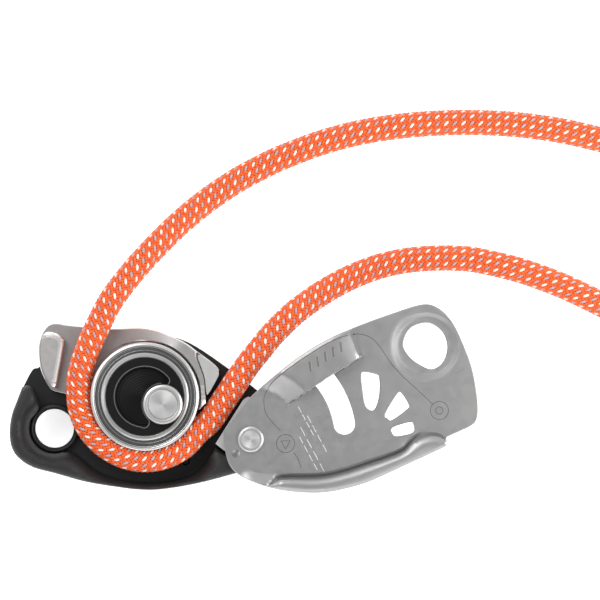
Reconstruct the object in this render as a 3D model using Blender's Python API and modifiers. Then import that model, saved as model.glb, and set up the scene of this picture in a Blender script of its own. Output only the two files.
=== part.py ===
"""Cam-assisted rope descender, swung open, with a rope round its wheel.

The device lies on its back: +Z is the outer face of the swinging side plate, +X runs
from the attachment hole towards the open side plate.  Design values are millimetres.
"""
import math

import bmesh
import bpy
from mathutils import Vector, geometry

MM = 0.001                      # metres in a millimetre

# ---------------------------------------------------------------- centres (x, y)
PIVOT = (2.8, -15.4)            # rivet that the side plate swings on
HOLE_RADIUS_FROM_PIVOT = 74.3   # both attachment holes lie on this circle
FIXED_HOLE_ANGLE = 177.1
OPEN_HOLE_ANGLE = 28.1
AXLE_FROM_PIVOT = 35.5          # cam axle, and the arc of the latch slot
AXLE_ANGLE = 158.3
WHEEL_FROM_AXLE = (-6.9, 2.8)   # the wheel is eccentric to the cam axle
CRANK_FROM_AXLE = (-21.7, 14.6)

# ---------------------------------------------------------------- radii
HOLE_R = 7.3
WHEEL_R = 20.4
GROOVE_ROOT_R = 18.4
ROPE_R = 4.9
POCKET_R = 21.0                 # hollow of the cam that the wheel runs in
NECK_R = 3.5
AXLE_HEAD_R = 7.5
AXLE_BODY_R = 5.0
BUSH_R = 6.7
RIVET_R = 2.9
RIVET_HEAD_R = 4.9
RUN = 0.1                       # radial clearance of a running fit
GAP = 0.3                       # clearance between neighbouring solids

# ---------------------------------------------------------------- levels (z)
COVER_Z = (0.0, 11.2)
PLATE_Z = (11.5, 14.5)
CAM_Z = (14.9, 18.0)
CAM_BLOCK_TOP = 28.0
LUG_TOP = 22.5
WHEEL_Z = (18.5, 29.5)
ROPE_Z = 24.0
SHELL_Z = (14.8, 30.6)
BOSS_TOP = 28.9
SIDE_PLATE_Z = 31.0
SIDE_PLATE_T = 2.2
HEAD_Z = (33.6, 36.0)
CRANK_Z = (6.9, 8.8)
LEVER_Z = (1.5, 5.0)

# ---------------------------------------------------------------- side plate forming
BRIDGE_RISE = 5.4               # lets the axle head pass below the bridge
BRIDGE_RAMPS = (19.0, 27.4, 43.6, 52.3)      # radii from the pivot
BRIDGE_EDGE = ((16.3, -2.1), (44.7, 15.9))   # lanced lower edge of the bridge
SLIT_W = 0.8
SWING = 149.0                   # how far the side plate turns to shut
SLOT_HALF = 4.0
DISH_DEPTH = 1.5
DISH_R = (10.6, 13.0)
RIM_RISE = 4.2
RIM_START = (9.0, 26.0)         # the rolled rim grows over this stretch of x
MESH_STEP = 3.4

ROPE_STEP = 9.0                 # distance between points of the rope tube
FLOOR = ROPE_R + 0.05           # height of the rope's centre where it lies down


def polar(centre, radius, degrees):
    a = math.radians(degrees)
    return (centre[0] + radius * math.cos(a), centre[1] + radius * math.sin(a))


def arc(centre, radius, start, end, count):
    return [polar(centre, radius, start + (end - start) * i / count) for i in range(count + 1)]


AXLE = polar(PIVOT, AXLE_FROM_PIVOT, AXLE_ANGLE)
WHEEL = (AXLE[0] + WHEEL_FROM_AXLE[0], AXLE[1] + WHEEL_FROM_AXLE[1])
CRANK = (AXLE[0] + CRANK_FROM_AXLE[0], AXLE[1] + CRANK_FROM_AXLE[1])
FIXED_HOLE = polar(PIVOT, HOLE_RADIUS_FROM_PIVOT, FIXED_HOLE_ANGLE)
OPEN_HOLE = polar(PIVOT, HOLE_RADIUS_FROM_PIVOT, OPEN_HOLE_ANGLE)

# ---------------------------------------------------------------- outlines (x, y)
BODY_LOWER = [(-83.2, 4.0), (-85.3, -1.5), (-87.1, -6.5), (-87.9, -13.1), (-87.0, -18.8), (-84.2, -22.8),
              (-78.9, -26.1), (-70.7, -28.3), (-60.2, -31.2), (-47.8, -33.4), (-37.7, -34.5), (-29.1, -34.1),
              (-16.7, -31.9), (-2.4, -28.1), (6.9, -25.2), (12.6, -19.5), (14.1, -12.0)]
BODY_UPPER = [(11.4, -3.8), (5.1, 2.6), (-5.6, 10.7), (-18.2, 19.3), (-26.5, 22.8), (-37.0, 24.6),
              (-53.8, 24.0), (-69.5, 22.0), (-74.4, 17.2), (-77.1, 11.6), (-79.8, 10.4)]
LIP_INNER = [(-10.5, -18.8), (-14.1, -24.2), (-17.8, -28.3), (-24.2, -30.8), (-34.3, -32.1), (-44.1, -31.4),
             (-50.8, -29.6), (-56.4, -27.0), (-61.3, -22.9), (-64.7, -20.6), (-67.9, -20.6)]
LIP_TOP = [(-80.0, -7.9), (-77.6, -4.9), (-77.2, -2.6), (-79.3, 3.0), (-80.3, 4.3), (-81.8, 4.7)]
SHELL_RIGHT = [(12.0, -17.0), (8.0, -20.6), (2.8, -21.4), (-3.0, -21.3), (-7.2, -20.6)]
COVER_OUTLINE = [(-60.0, -30.8), (-47.8, -33.1), (-37.7, -34.2), (-29.1, -33.8), (-16.7, -31.6), (-2.4, -27.8),
                 (6.7, -24.9), (12.3, -19.3), (13.7, -12.0), (11.1, -4.2), (6.0, 0.8), (1.6, -4.6),
                 (-3.4, -11.4), (-10.0, -14.0), (-30.0, -14.6), (-46.0, -15.0), (-57.0, -18.0), (-61.6, -24.0)]
CAM_TOP = [(-9.2, 10.2), (-10.5, 12.0), (-14.2, 15.0), (-17.3, 17.2), (-22.9, 21.2), (-32.2, 24.9),
           (-39.7, 26.2), (-50.2, 26.0), (-65.1, 27.2), (-70.3, 28.0), (-73.1, 27.6), (-75.0, 25.9),
           (-76.5, 23.0), (-77.4, 18.5), (-76.8, 11.6), (-75.2, 7.2), (-73.1, 3.4), (-70.5, 2.2), (-66.0, 1.2)]
LUG = [(-76.3, 21.0), (-75.6, 23.2), (-74.0, 24.8), (-70.3, 24.2), (-68.2, 22.3), (-67.5, 19.7), (-70.3, 3.6),
       (-72.2, 4.4), (-74.4, 7.9), (-75.8, 11.8), (-76.6, 17.0)]
NOSE_PAD = [(-17.2, 15.9), (-14.2, 14.8), (-10.2, 11.6), (-9.4, 9.6), (-9.8, 7.6), (-13.2, 1.6), (-14.0, 2.4),
            (-14.6, 7.5), (-16.0, 11.7)]
INSERT = [(-10.5, -17.1), (-1.1, -2.2), (-0.2, -0.8), (1.6, 0.3), (3.2, -0.6), (3.0, -2.4), (-3.9, -13.8),
          (-4.6, -17.9), (-7.1, -19.8)]
SIDE_OUTLINE = [(-7.3, -12.8), (-7.2, -17.6), (-5.6, -24.2), (-2.7, -28.0), (1.6, -30.4), (7.3, -32.7),
                (13.8, -34.3), (21.0, -35.2), (28.2, -35.4), (35.3, -34.5), (44.7, -32.1), (51.8, -29.2),
                (62.6, -24.2), (76.0, -18.0), (76.2, -14.6), (80.6, -12.6), (85.6, -10.2), (87.5, -7.6),
                (87.9, -3.4), (87.3, 3.0), (85.6, 11.6), (82.7, 19.5), (79.8, 26.0), (76.9, 30.4), (73.3, 33.7),
                (69.1, 35.3), (64.1, 34.6), (55.4, 31.7), (48.3, 29.2), (39.6, 25.8), (33.9, 23.3), (26.7, 19.4),
                (19.6, 14.7), (13.8, 10.2), (7.3, 4.7), (1.6, -0.6), (-2.7, -6.0), (-6.2, -10.8)]
SIDE_CORNERS = ((76.0, -18.0), (76.2, -14.6))
RIM_INNER = [(11.0, -33.0), (14.4, -29.6), (28.2, -28.9), (37.5, -27.0), (46.1, -24.2), (52.6, -22.1),
             (59.1, -19.5), (61.9, -16.7), (64.7, -14.2), (69.1, -12.8), (73.3, -13.1), (76.2, -15.2)]
RIM_OUTER = [(7.3, -32.7), (13.8, -34.3), (21.0, -35.2), (28.2, -35.4), (35.3, -34.5), (44.7, -32.1),
             (51.8, -29.2), (62.6, -24.2), (76.0, -18.0)]
OPEN_HOLE_OUTLINE = [(59.9, 20.6), (62.6, 26.2), (68.9, 28.2), (74.2, 25.2), (76.4, 19.5), (74.8, 13.7),
                     (70.6, 10.9), (65.4, 13.0), (61.6, 16.4)]
KITES = [[(44.2, 8.8), (45.4, 9.8), (49.7, 8.9), (50.9, 7.4), (50.8, 0.9), (48.9, -4.4), (45.8, -3.0),
          (44.6, 3.6)],
         [(57.7, 1.7), (59.4, 1.6), (61.9, -2.4), (61.5, -3.9), (55.8, -8.1), (54.1, -7.6), (53.1, -5.9)],
         [(55.9, -11.0), (62.2, -9.0), (63.6, -9.7), (63.5, -12.8), (57.6, -14.2), (55.9, -13.3)]]

RIM_REGION = RIM_INNER + [(80.0, -17.0), (80.0, -40.0), (6.0, -40.0)]
PAD_SEAT = [(-18.1, 16.6), (-14.0, 18.6), (-4.0, 12.0), (-6.0, 4.0), (-13.6, -1.5), (-14.4, 2.0), (-14.9, 7.4),
            (-16.3, 11.5)]

# ---------------------------------------------------------------- fasteners, bearing and handle
SCREWS = [(-54.5, -29.8), (0.0, -24.6), (-22.0, -24.0)]      # back cover to shell; the last stops in the plate
INSERT_PINS = [(-6.9, -15.6), (-0.6, -5.2)]
SCREW_HOLE_R = 1.6
BALLS = 10
BALL_R = 1.0
BALL_CIRCLE_R = 16.1
HANDLE_ANGLE = -9.0
HANDLE_LENGTH = 42.0
TANG_SHORT = 9.0                # the steel tang stops this far before the grip's end
CRANK_BORE_R = 2.1

# ---------------------------------------------------------------- rope route (x, y, z)
CHANNEL_START = [(-50.1, 36.2, ROPE_Z), (-53.6, 29.6, ROPE_Z), (-58.2, 19.4, ROPE_Z), (-61.4, 9.5, ROPE_Z)]
CHANNEL_END = [(-12.6, -8.5, ROPE_Z), (-8.9, -3.1, ROPE_Z), (-5.1, 2.6, ROPE_Z), (-1.3, 8.3, ROPE_Z),
               (2.4, 13.5, 23.7), (6.2, 18.2, 23.2)]
CLIMBER_ROUTE = [(-50.1, 36.2, ROPE_Z), (-46.3, 41.6, 23.6), (-42.6, 46.3, 22.7), (-38.8, 50.8, 21.3),
                 (-31.3, 58.9, 17.6), (-23.8, 66.2, 13.3), (-16.3, 72.6, 9.6), (-8.8, 78.1, 7.0),
                 (-1.3, 82.9, 5.6), (6.2, 86.9, FLOOR), (13.7, 90.5, FLOOR), (28.7, 96.2, FLOOR),
                 (43.7, 100.2, FLOOR), (58.7, 102.6, FLOOR), (73.7, 103.8, FLOOR), (88.7, 104.0, FLOOR),
                 (103.7, 103.2, FLOOR), (118.7, 101.2, FLOOR), (129.9, 98.8, FLOOR), (139.0, 96.5, FLOOR),
                 (147.6, 94.0, FLOOR)]
BRAKE_ROUTE = [(6.2, 18.2, 23.2), (9.9, 22.8, 22.0), (13.7, 26.8, 20.4), (17.4, 30.4, 18.5), (21.2, 33.6, 16.4),
               (28.7, 38.9, 12.1), (36.2, 43.3, 8.6), (43.7, 46.8, 6.2), (51.2, 49.5, 5.1), (58.7, 51.3, FLOOR),
               (66.2, 52.3, FLOOR), (73.7, 52.7, FLOOR), (81.2, 52.6, FLOOR), (88.7, 51.8, FLOOR),
               (103.7, 48.3, FLOOR), (118.7, 43.0, FLOOR), (129.9, 37.9, FLOOR), (138.6, 33.6, FLOOR),
               (146.8, 29.2, FLOOR)]
SLEEVE_LENGTH = 9.0


def clear_scene():
    for obj in list(bpy.data.objects):
        bpy.data.objects.remove(obj, do_unlink=True)


def new_collection(name):
    group = bpy.data.collections.new(name)
    bpy.context.scene.collection.children.link(group)
    return group


clear_scene()
MODEL = new_collection("rope_descender")
CUTTERS = new_collection("cutters")


def finish_material(name, colour, roughness, metallic):
    material = bpy.data.materials.new(name)
    material.use_nodes = True
    shader = material.node_tree.nodes["Principled BSDF"]
    shader.inputs["Base Color"].default_value = (*colour, 1.0)
    shader.inputs["Roughness"].default_value = roughness
    shader.inputs["Metallic"].default_value = metallic
    return material


BLACK_COAT = ((0.018, 0.018, 0.020), 0.5, 0.0)
BLACK_NYLON = ((0.022, 0.022, 0.024), 0.6, 0.0)
GREY_PLATE = ((0.25, 0.25, 0.25), 0.4, 0.9)
CAST_STEEL = ((0.36, 0.34, 0.33), 0.45, 0.9)
BRIGHT_STEEL = ((0.65, 0.65, 0.64), 0.25, 1.0)
SPRING_STEEL = ((0.45, 0.45, 0.47), 0.3, 1.0)
ROPE_ORANGE = ((0.85, 0.12, 0.02), 0.8, 0.0)
SLEEVE_BLACK = ((0.03, 0.03, 0.03), 0.7, 0.0)


def dress(obj, look):
    obj.data.materials.clear()
    obj.data.materials.append(finish_material(obj.name, *look))
    obj.data.shade_smooth()
    obj.data.set_sharp_from_angle(angle=math.radians(35))
    return obj


def add_object(name, mesh, origin):
    obj = bpy.data.objects.new(name, mesh)
    obj.location = Vector(origin) * MM
    MODEL.objects.link(obj)
    return obj


def smooth_loop(points, corners=(), steps=3):
    """Closed Catmull-Rom curve through the points; listed corners stay sharp."""
    count = len(points)
    result = []
    for i in range(count):
        before, start, end, after = (Vector(points[(i + k) % count]) for k in (-1, 0, 1, 2))
        if tuple(points[i]) in corners:
            before = start
        if tuple(points[(i + 1) % count]) in corners:
            after = end
        for k in range(steps):
            t = k / steps
            result.append(tuple(0.5 * (2 * start + (end - before) * t
                                       + (2 * before - 5 * start + 4 * end - after) * t * t
                                       + (3 * start - before - 3 * end + after) * t ** 3)))
    return result


def curve_mesh(name, loops, half_height):
    """Mesh of a filled 2D curve with holes, extruded both ways."""
    data = bpy.data.curves.new(name, "CURVE")
    data.dimensions = "2D"
    data.fill_mode = "BOTH"
    data.extrude = half_height * MM
    for loop in loops:
        spline = data.splines.new("POLY")
        spline.points.add(len(loop) - 1)
        for point, (x, y) in zip(spline.points, loop):
            point.co = (x * MM, y * MM, 0.0, 1.0)
        spline.use_cyclic_u = True
    return mesh_from_curve(name, data)


def mesh_from_curve(name, data):
    holder = bpy.data.objects.new(name + "_curve", data)
    bpy.context.scene.collection.objects.link(holder)
    bpy.context.view_layer.update()
    mesh = bpy.data.meshes.new_from_object(holder.evaluated_get(bpy.context.evaluated_depsgraph_get()))
    bpy.data.objects.remove(holder, do_unlink=True)
    bm = bmesh.new()
    bm.from_mesh(mesh)
    bmesh.ops.remove_doubles(bm, verts=bm.verts, dist=0.00001)
    bmesh.ops.recalc_face_normals(bm, faces=bm.faces)
    bm.to_mesh(mesh)
    bm.free()
    return mesh


def prism(name, loops, levels, look, origin=(0.0, 0.0)):
    """Flat plate between two levels; its origin sits at (x, y) on the lower level."""
    low, high = levels
    local = [[(x - origin[0], y - origin[1]) for x, y in loop] for loop in loops]
    mesh = curve_mesh(name, local, (high - low) / 2)
    obj = add_object(name, mesh, (*origin, (low + high) / 2))
    return dress(obj, look)


def turned(name, profile, centre, look, sides=28):
    """Ring or disc turned about the vertical through centre; profile is (radius, z) down the outside."""
    mesh = bpy.data.meshes.new(name)
    bm = bmesh.new()
    verts = [bm.verts.new((r * MM, 0.0, z * MM)) for r, z in profile]
    for first, second in zip(verts, verts[1:]):
        bm.edges.new((first, second))
    if profile[0][0] > 0.0:
        bm.edges.new((verts[-1], verts[0]))
    bm.to_mesh(mesh)
    bm.free()
    obj = add_object(name, mesh, (*centre, 0.0))
    screw = obj.modifiers.new("turn", "SCREW")
    screw.steps = sides
    screw.render_steps = sides
    screw.use_merge_vertices = True
    screw.merge_threshold = 0.00001
    screw.use_smooth_shade = False
    return dress(obj, look)


def bevel(obj, width, segments=2, angle=35):
    edge = obj.modifiers.new("edges", "BEVEL")
    edge.width = width * MM
    edge.segments = segments
    edge.limit_method = "ANGLE"
    edge.angle_limit = math.radians(angle)
    return obj


def boolean(obj, cutter, operation="DIFFERENCE"):
    if cutter.name not in CUTTERS.objects:
        CUTTERS.objects.link(cutter)
        MODEL.objects.unlink(cutter)
    cutter.hide_render = True
    cutter.display_type = "WIRE"
    step = obj.modifiers.new(operation.lower(), "BOOLEAN")
    step.operation = operation
    step.solver = "EXACT"
    step.object = cutter
    return obj


def ring_points(centre, radius, sides=24):
    return arc(centre, radius, 0.0, 360.0 * (sides - 1) / sides, sides - 1)


def stadium(start, end, r_start, r_end, count=12):
    """Outline of two round ends joined by their tangents."""
    direction = math.degrees(math.atan2(end[1] - start[1], end[0] - start[0]))
    length = math.dist(start, end)
    lean = math.degrees(math.acos((r_start - r_end) / length))
    return (arc(start, r_start, direction + lean, direction + 360 - lean, count)
            + arc(end, r_end, direction - lean, direction + lean, count))


# ---------------------------------------------------------------- fixed side
def fixed_plate():
    outline = smooth_loop(BODY_LOWER + BODY_UPPER, steps=2)
    holes = [ring_points(FIXED_HOLE, HOLE_R, 32), ring_points(AXLE, BUSH_R + GAP, 28),
             ring_points(PIVOT, RIVET_R + RUN)]
    holes += [ring_points(spot, SCREW_HOLE_R, 16) for spot in SCREWS + INSERT_PINS]
    return prism("fixed_plate", [outline] + holes, PLATE_Z, BLACK_COAT)


def channel_shell():
    """Raised lip round the attachment hole, running on as the outer wall of the rope channel."""
    ring = arc(FIXED_HOLE, 9.4, 292.0, 158.0, 14)
    outline = BODY_LOWER[:-1] + SHELL_RIGHT + smooth_open(LIP_INNER) + ring + LIP_TOP
    shell = prism("channel_shell", [outline], SHELL_Z, BLACK_NYLON)
    for index, spot in enumerate(SCREWS[:2]):
        hole = [ring_points(spot, SCREW_HOLE_R, 12)]
        boolean(shell, prism("shell_screw_hole_%d" % index, hole, (14.0, 18.2), BLACK_NYLON))
    lower = prism("boss_relief", [arc(FIXED_HOLE, 17.2, 100.0, 282.0, 16) + [(-60.0, -12.0)]],
                  (BOSS_TOP, 40.0), BLACK_NYLON)
    return boolean(shell, lower)


def smooth_open(points, steps=2):
    """Open run of points, rounded between its ends."""
    loop = smooth_loop([points[0]] + points + [points[-1]], corners=(), steps=steps)
    return loop[steps:steps * (len(points)) + 1]


def attachment_ring():
    return turned("attachment_ring", [(9.0, 15.8), (9.0, 14.8), (HOLE_R, 14.8), (HOLE_R, 16.0), (8.6, 16.0)],
                  FIXED_HOLE, BLACK_NYLON, 32)


def back_cover():
    cover = prism("back_cover", [smooth_loop(COVER_OUTLINE, steps=2)], COVER_Z, BLACK_NYLON)
    for index, spot in enumerate(SCREWS):
        profile = [(0.0, 12.0), (1.6, 12.0), (1.6, 2.4), (3.1, 2.4), (3.1, -1.0), (0.0, -1.0)]
        boolean(cover, turned("screw_pocket_%d" % index, profile, spot, BLACK_NYLON, 20))
    tail = [(0.0, 12.0), (5.4, 12.0), (5.4, 8.4), (0.0, 8.4)]
    boolean(cover, turned("rivet_pocket", tail, PIVOT, BLACK_NYLON, 32))
    for index, spot in enumerate(INSERT_PINS):
        pocket = [(0.0, 12.0), (2.6, 12.0), (2.6, 9.6), (0.0, 9.6)]
        boolean(cover, turned("pin_pocket_%d" % index, pocket, spot, BLACK_NYLON, 16))
    return cover


def cover_screw(index, spot):
    """Socket-head screw from the back cover into the shell."""
    profile = [(0.0, 17.6), (0.9, 17.6), (1.4, 17.0), (1.4, 2.1), (2.8, 2.1), (2.8, 0.6), (2.5, 0.3),
               (1.3, 0.3), (1.3, 1.3), (0.0, 1.3)]
    if index == 2:
        profile[:3] = [(0.0, 14.3), (1.1, 14.3), (1.4, 14.0)]
    return turned("cover_screw_%d" % (index + 1), profile, spot, BRIGHT_STEEL, 12)


def insert_pin(index, spot):
    """Pin that holds the steel insert to the fixed plate."""
    profile = [(0.0, 18.4), (1.5, 18.4), (1.5, 11.2), (2.3, 11.2), (2.3, 10.0), (0.0, 10.0)]
    return turned("insert_pin_%d" % (index + 1), profile, spot, BRIGHT_STEEL, 12)


def wear_insert():
    body = prism("wear_insert", [INSERT], SHELL_Z, BRIGHT_STEEL)
    for index, spot in enumerate(INSERT_PINS):
        hole = [ring_points(spot, SCREW_HOLE_R, 16)]
        boolean(body, prism("pin_socket_%d" % index, hole, (14.0, 18.8), BRIGHT_STEEL))
    return body


def axle_bush():
    bore = AXLE_BODY_R + RUN
    low, high = PLATE_Z
    return turned("axle_bush", [(BUSH_R, high), (BUSH_R, low), (bore, low), (bore, high)], AXLE, BRIGHT_STEEL, 28)


def pivot_pieces():
    turned("pivot_rivet", [(0.0, 34.9), (3.9, 34.9), (RIVET_HEAD_R, 34.4), (RIVET_HEAD_R, 33.5), (RIVET_R, 33.5),
                           (RIVET_R, 11.2), (RIVET_HEAD_R, 11.2), (RIVET_HEAD_R, 9.2), (4.2, 8.7), (0.0, 8.7)],
           PIVOT, BRIGHT_STEEL)
    turned("pivot_spacer", [(4.6, 30.0), (4.6, 14.8), (RIVET_R + RUN, 14.8), (RIVET_R + RUN, 30.0)],
           PIVOT, BRIGHT_STEEL)
    turned("pivot_washer", [(5.4, 30.7), (5.4, 30.3), (RIVET_R + RUN, 30.3), (RIVET_R + RUN, 30.7)],
           PIVOT, BRIGHT_STEEL)


# ---------------------------------------------------------------- side plate
def ramp(value, low, high):
    t = min(max((value - low) / (high - low), 0.0), 1.0)
    return t * t * (3.0 - 2.0 * t)


def distance_to_line(point, line):
    """Shortest distance from a point to an open run of straight pieces."""
    point = Vector(point)
    best = math.inf
    for start, end in zip(line, line[1:]):
        start, end = Vector(start), Vector(end)
        t = geometry.intersect_point_line(point, start, end)[1]
        best = min(best, (point - start.lerp(end, min(max(t, 0.0), 1.0))).length)
    return best


def inside(point, loop):
    """Even-odd test."""
    x, y = point
    hit = False
    for (x0, y0), (x1, y1) in zip(loop, loop[1:] + loop[:1]):
        if (y0 > y) != (y1 > y) and x < x0 + (y - y0) / (y1 - y0) * (x1 - x0):
            hit = not hit
    return hit


def form_height(point):
    """How far the formed sheet stands above the flat at (x, y)."""
    (ax, ay), (bx, by) = BRIDGE_EDGE
    above = ((bx - ax) * (point[1] - ay) - (by - ay) * (point[0] - ax)) / math.dist(*BRIDGE_EDGE)
    radius = math.dist(point, PIVOT)
    height = 0.0
    if above > -0.5 * SLIT_W:
        r0, r1, r2, r3 = BRIDGE_RAMPS
        height += BRIDGE_RISE * ramp(radius, r0, r1) * (1.0 - ramp(radius, r2, r3))
    height -= DISH_DEPTH * (1.0 - ramp(math.dist(point, OPEN_HOLE), *DISH_R))
    if inside(point, RIM_REGION):
        to_inner = distance_to_line(point, RIM_INNER)
        to_outer = distance_to_line(point, RIM_OUTER)
        share = to_inner / (to_inner + to_outer + 0.001)
        height += RIM_RISE * share ** 2 * ramp(point[0], *RIM_START)
    return height


def slot_outline():
    """Latch slot, an arc about the pivot, ending in the slit below the bridge."""
    (ax, ay), (bx, by) = BRIDGE_EDGE
    run = Vector((bx - ax, by - ay)).normalized()
    side = Vector((run.y, -run.x)) * SLIT_W
    inner, outer = AXLE_FROM_PIVOT - SLOT_HALF, AXLE_FROM_PIVOT + SLOT_HALF
    end = AXLE_ANGLE - SWING

    def meet(radius):
        hit = geometry.intersect_line_sphere_2d(Vector((ax, ay)) + side, Vector((bx, by)) + side, Vector(PIVOT),
                                                radius, False)
        return max((p for p in hit if p), key=lambda p: p.y)

    outer_hit, inner_hit = meet(outer), meet(inner)
    outer_top = math.degrees(math.atan2(outer_hit.y - PIVOT[1], outer_hit.x - PIVOT[0]))
    inner_top = math.degrees(math.atan2(inner_hit.y - PIVOT[1], inner_hit.x - PIVOT[0]))
    tip = polar(PIVOT, AXLE_FROM_PIVOT, end)
    round_end = arc(tip, SLOT_HALF, end + 180.0, end + 360.0, 10)
    return ([(ax, ay), tuple(Vector((ax, ay)) + side)] + arc(PIVOT, inner, inner_top, end + 1.5, 6)
            + round_end[1:-1] + arc(PIVOT, outer, end + 1.5, outer_top, 8)
            + [tuple(Vector((bx, by)) + side), (bx, by)])


def densify(loop, step):
    """Split long edges so that no stretch is longer than the mesh step."""
    result = []
    for start, end in zip(loop, loop[1:] + loop[:1]):
        pieces = max(1, round(math.dist(start, end) / step))
        for k in range(pieces):
            result.append(tuple(Vector(start).lerp(Vector(end), k / pieces)))
    return result


def moving_plate():
    outer = densify(smooth_loop(SIDE_OUTLINE, SIDE_CORNERS, 1), MESH_STEP)
    holes = [densify(slot_outline(), MESH_STEP), smooth_loop(OPEN_HOLE_OUTLINE, steps=3),
             ring_points(PIVOT, RIVET_R + RUN)] + [smooth_loop(kite, steps=1) for kite in KITES]
    loops = [outer] + holes
    verts, edges = [], []
    for loop in loops:
        first = len(verts)
        verts += [Vector(p) for p in loop]
        edges += [(first + i, first + (i + 1) % len(loop)) for i in range(len(loop))]
    rows = int(200 / MESH_STEP)
    for row in range(rows):
        for column in range(rows):
            point = (-100 + MESH_STEP * (column + 0.5 * (row % 2)), -40 + MESH_STEP * 0.866 * row)
            if not inside(point, outer) or any(inside(point, hole) for hole in holes):
                continue
            if min(distance_to_line(point, loop + loop[:1]) for loop in loops) > 0.55 * MESH_STEP:
                verts.append(Vector(point))
    points, _, faces, *_ = geometry.delaunay_2d_cdt(verts, edges, [], 0, 0.0001)
    bm = bmesh.new()
    made = [bm.verts.new(((p.x - PIVOT[0]) * MM, (p.y - PIVOT[1]) * MM, 0.0)) for p in points]
    for face in faces:
        middle = tuple(sum((points[i] for i in face), Vector((0, 0))) / len(face))
        if inside(middle, outer) and not any(inside(middle, h) for h in holes):
            bm.faces.new([made[i] for i in face])
    bmesh.ops.delete(bm, geom=[v for v in bm.verts if not v.link_faces], context="VERTS")
    lifted = bmesh.ops.extrude_face_region(bm, geom=bm.faces[:], use_keep_orig=True)["geom"]
    upper = [v for v in lifted if isinstance(v, bmesh.types.BMVert)]
    bmesh.ops.translate(bm, vec=(0, 0, SIDE_PLATE_T * MM), verts=upper)
    bmesh.ops.recalc_face_normals(bm, faces=bm.faces)
    for vert in bm.verts:
        vert.co.z += form_height((vert.co.x / MM + PIVOT[0], vert.co.y / MM + PIVOT[1])) * MM
    mesh = bpy.data.meshes.new("moving_plate")
    bm.to_mesh(mesh)
    bm.free()
    obj = add_object("moving_plate", mesh, (*PIVOT, SIDE_PLATE_Z))
    return dress(obj, GREY_PLATE)


# ---------------------------------------------------------------- cam group
def cam_body():
    """Cast cam: base plate under the wheel, thick nose block and the raised lug on its spur."""
    under_wheel = arc(WHEEL, 19.0, 196.0, 338.0, 12)
    base = smooth_loop(CAM_TOP, corners=((-9.2, 10.2), (-66.0, 1.2)), steps=2)
    pocket = arc(WHEEL, POCKET_R, 346.2, 475.0, 18)
    base = base[:2 * (len(CAM_TOP) - 1) + 1] + under_wheel + pocket[:1]
    cam = prism("cam_body", [base, ring_points(AXLE, AXLE_BODY_R + GAP, 40)], CAM_Z, CAST_STEEL, AXLE)
    inset = [tuple(Vector(WHEEL).lerp(Vector(p), 0.998)) for p in base[13::-1]]
    block = inset + pocket[1:]
    boolean(cam, prism("cam_block", [block], (CAM_Z[0] + 1.0, CAM_BLOCK_TOP), CAST_STEEL), "UNION")
    boolean(cam, prism("cam_lug", [smooth_loop(LUG, steps=2)], (CAM_Z[0] + 1.0, LUG_TOP), CAST_STEEL), "UNION")
    return boolean(cam, prism("pad_seat", [PAD_SEAT], (CAM_Z[1], 32.0), CAST_STEEL))


def cam_nose_pad():
    return prism("cam_nose_pad", [NOSE_PAD], (CAM_Z[1] + GAP, 28.4), BRIGHT_STEEL, AXLE)


def cam_axle():
    under, top = HEAD_Z
    profile = [(0.0, top - 0.4), (5.4, top - 0.4), (5.7, top), (7.1, top), (AXLE_HEAD_R, top - 0.4),
               (AXLE_HEAD_R, under), (NECK_R, under), (NECK_R, 18.4), (AXLE_BODY_R, 18.4),
               (AXLE_BODY_R, 11.5), (3.6, 11.5), (3.6, 5.9),
               (3.0, 5.9), (3.0, 5.3), (3.6, 5.3), (3.3, 4.6), (0.0, 4.6)]
    return turned("cam_axle", profile, AXLE, BRIGHT_STEEL)


def wheel_hub():
    """Black disc inside the bearing, bored off centre for the axle, with a crescent recess."""
    hub = turned("wheel_hub", [(0.0, 29.3), (14.3, 29.3), (14.6, 29.0), (14.6, 28.3), (12.3, 28.3), (12.3, 18.9),
                               (0.0, 18.9)], WHEEL, BLACK_COAT, 40)
    boolean(hub, prism("hub_bore", [ring_points(AXLE, NECK_R + GAP, 40)], (10.0, 40.0), BLACK_COAT))
    recess = arc(WHEEL, 11.1, 41.0, 262.0, 24) + arc(AXLE, 8.3, 218.0, 96.0, 14)
    return boolean(hub, prism("hub_recess", [recess], (27.4, 33.0), BLACK_COAT))


def wheel_bearing():
    turned("bearing_inner_race", [(14.95, 29.4), (15.1, 29.6), (16.4, 29.6), (16.55, 29.4), (16.55, 28.2),
                                  (15.0, 28.2), (15.0, 18.7), (12.6, 18.7), (12.6, 28.0), (14.95, 28.0)],
           WHEEL, BRIGHT_STEEL, 40)
    turned("bearing_seal", [(18.2, 29.1), (18.2, 28.5), (16.9, 28.5), (16.9, 29.1), (17.55, 28.8)],
           WHEEL, BLACK_NYLON, 40)
    ring = [(16.6, 24.6), (16.6, 23.4), (15.6, 23.4), (15.6, 24.6)]
    cage = turned("bearing_balls", ring, WHEEL, BRIGHT_STEEL, 20)
    for index in range(BALLS):
        x, y = polar((0.0, 0.0), BALL_CIRCLE_R, 360.0 * index / BALLS)
        mesh = bpy.data.meshes.new("ball_%d" % index)
        bm = bmesh.new()
        bmesh.ops.create_uvsphere(bm, u_segments=6, v_segments=4, radius=BALL_R * MM)
        bm.to_mesh(mesh)
        bm.free()
        ball = add_object("ball_%d" % index, mesh, (WHEEL[0] + x, WHEEL[1] + y, ROPE_Z))
        boolean(cage, ball, "UNION")


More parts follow.
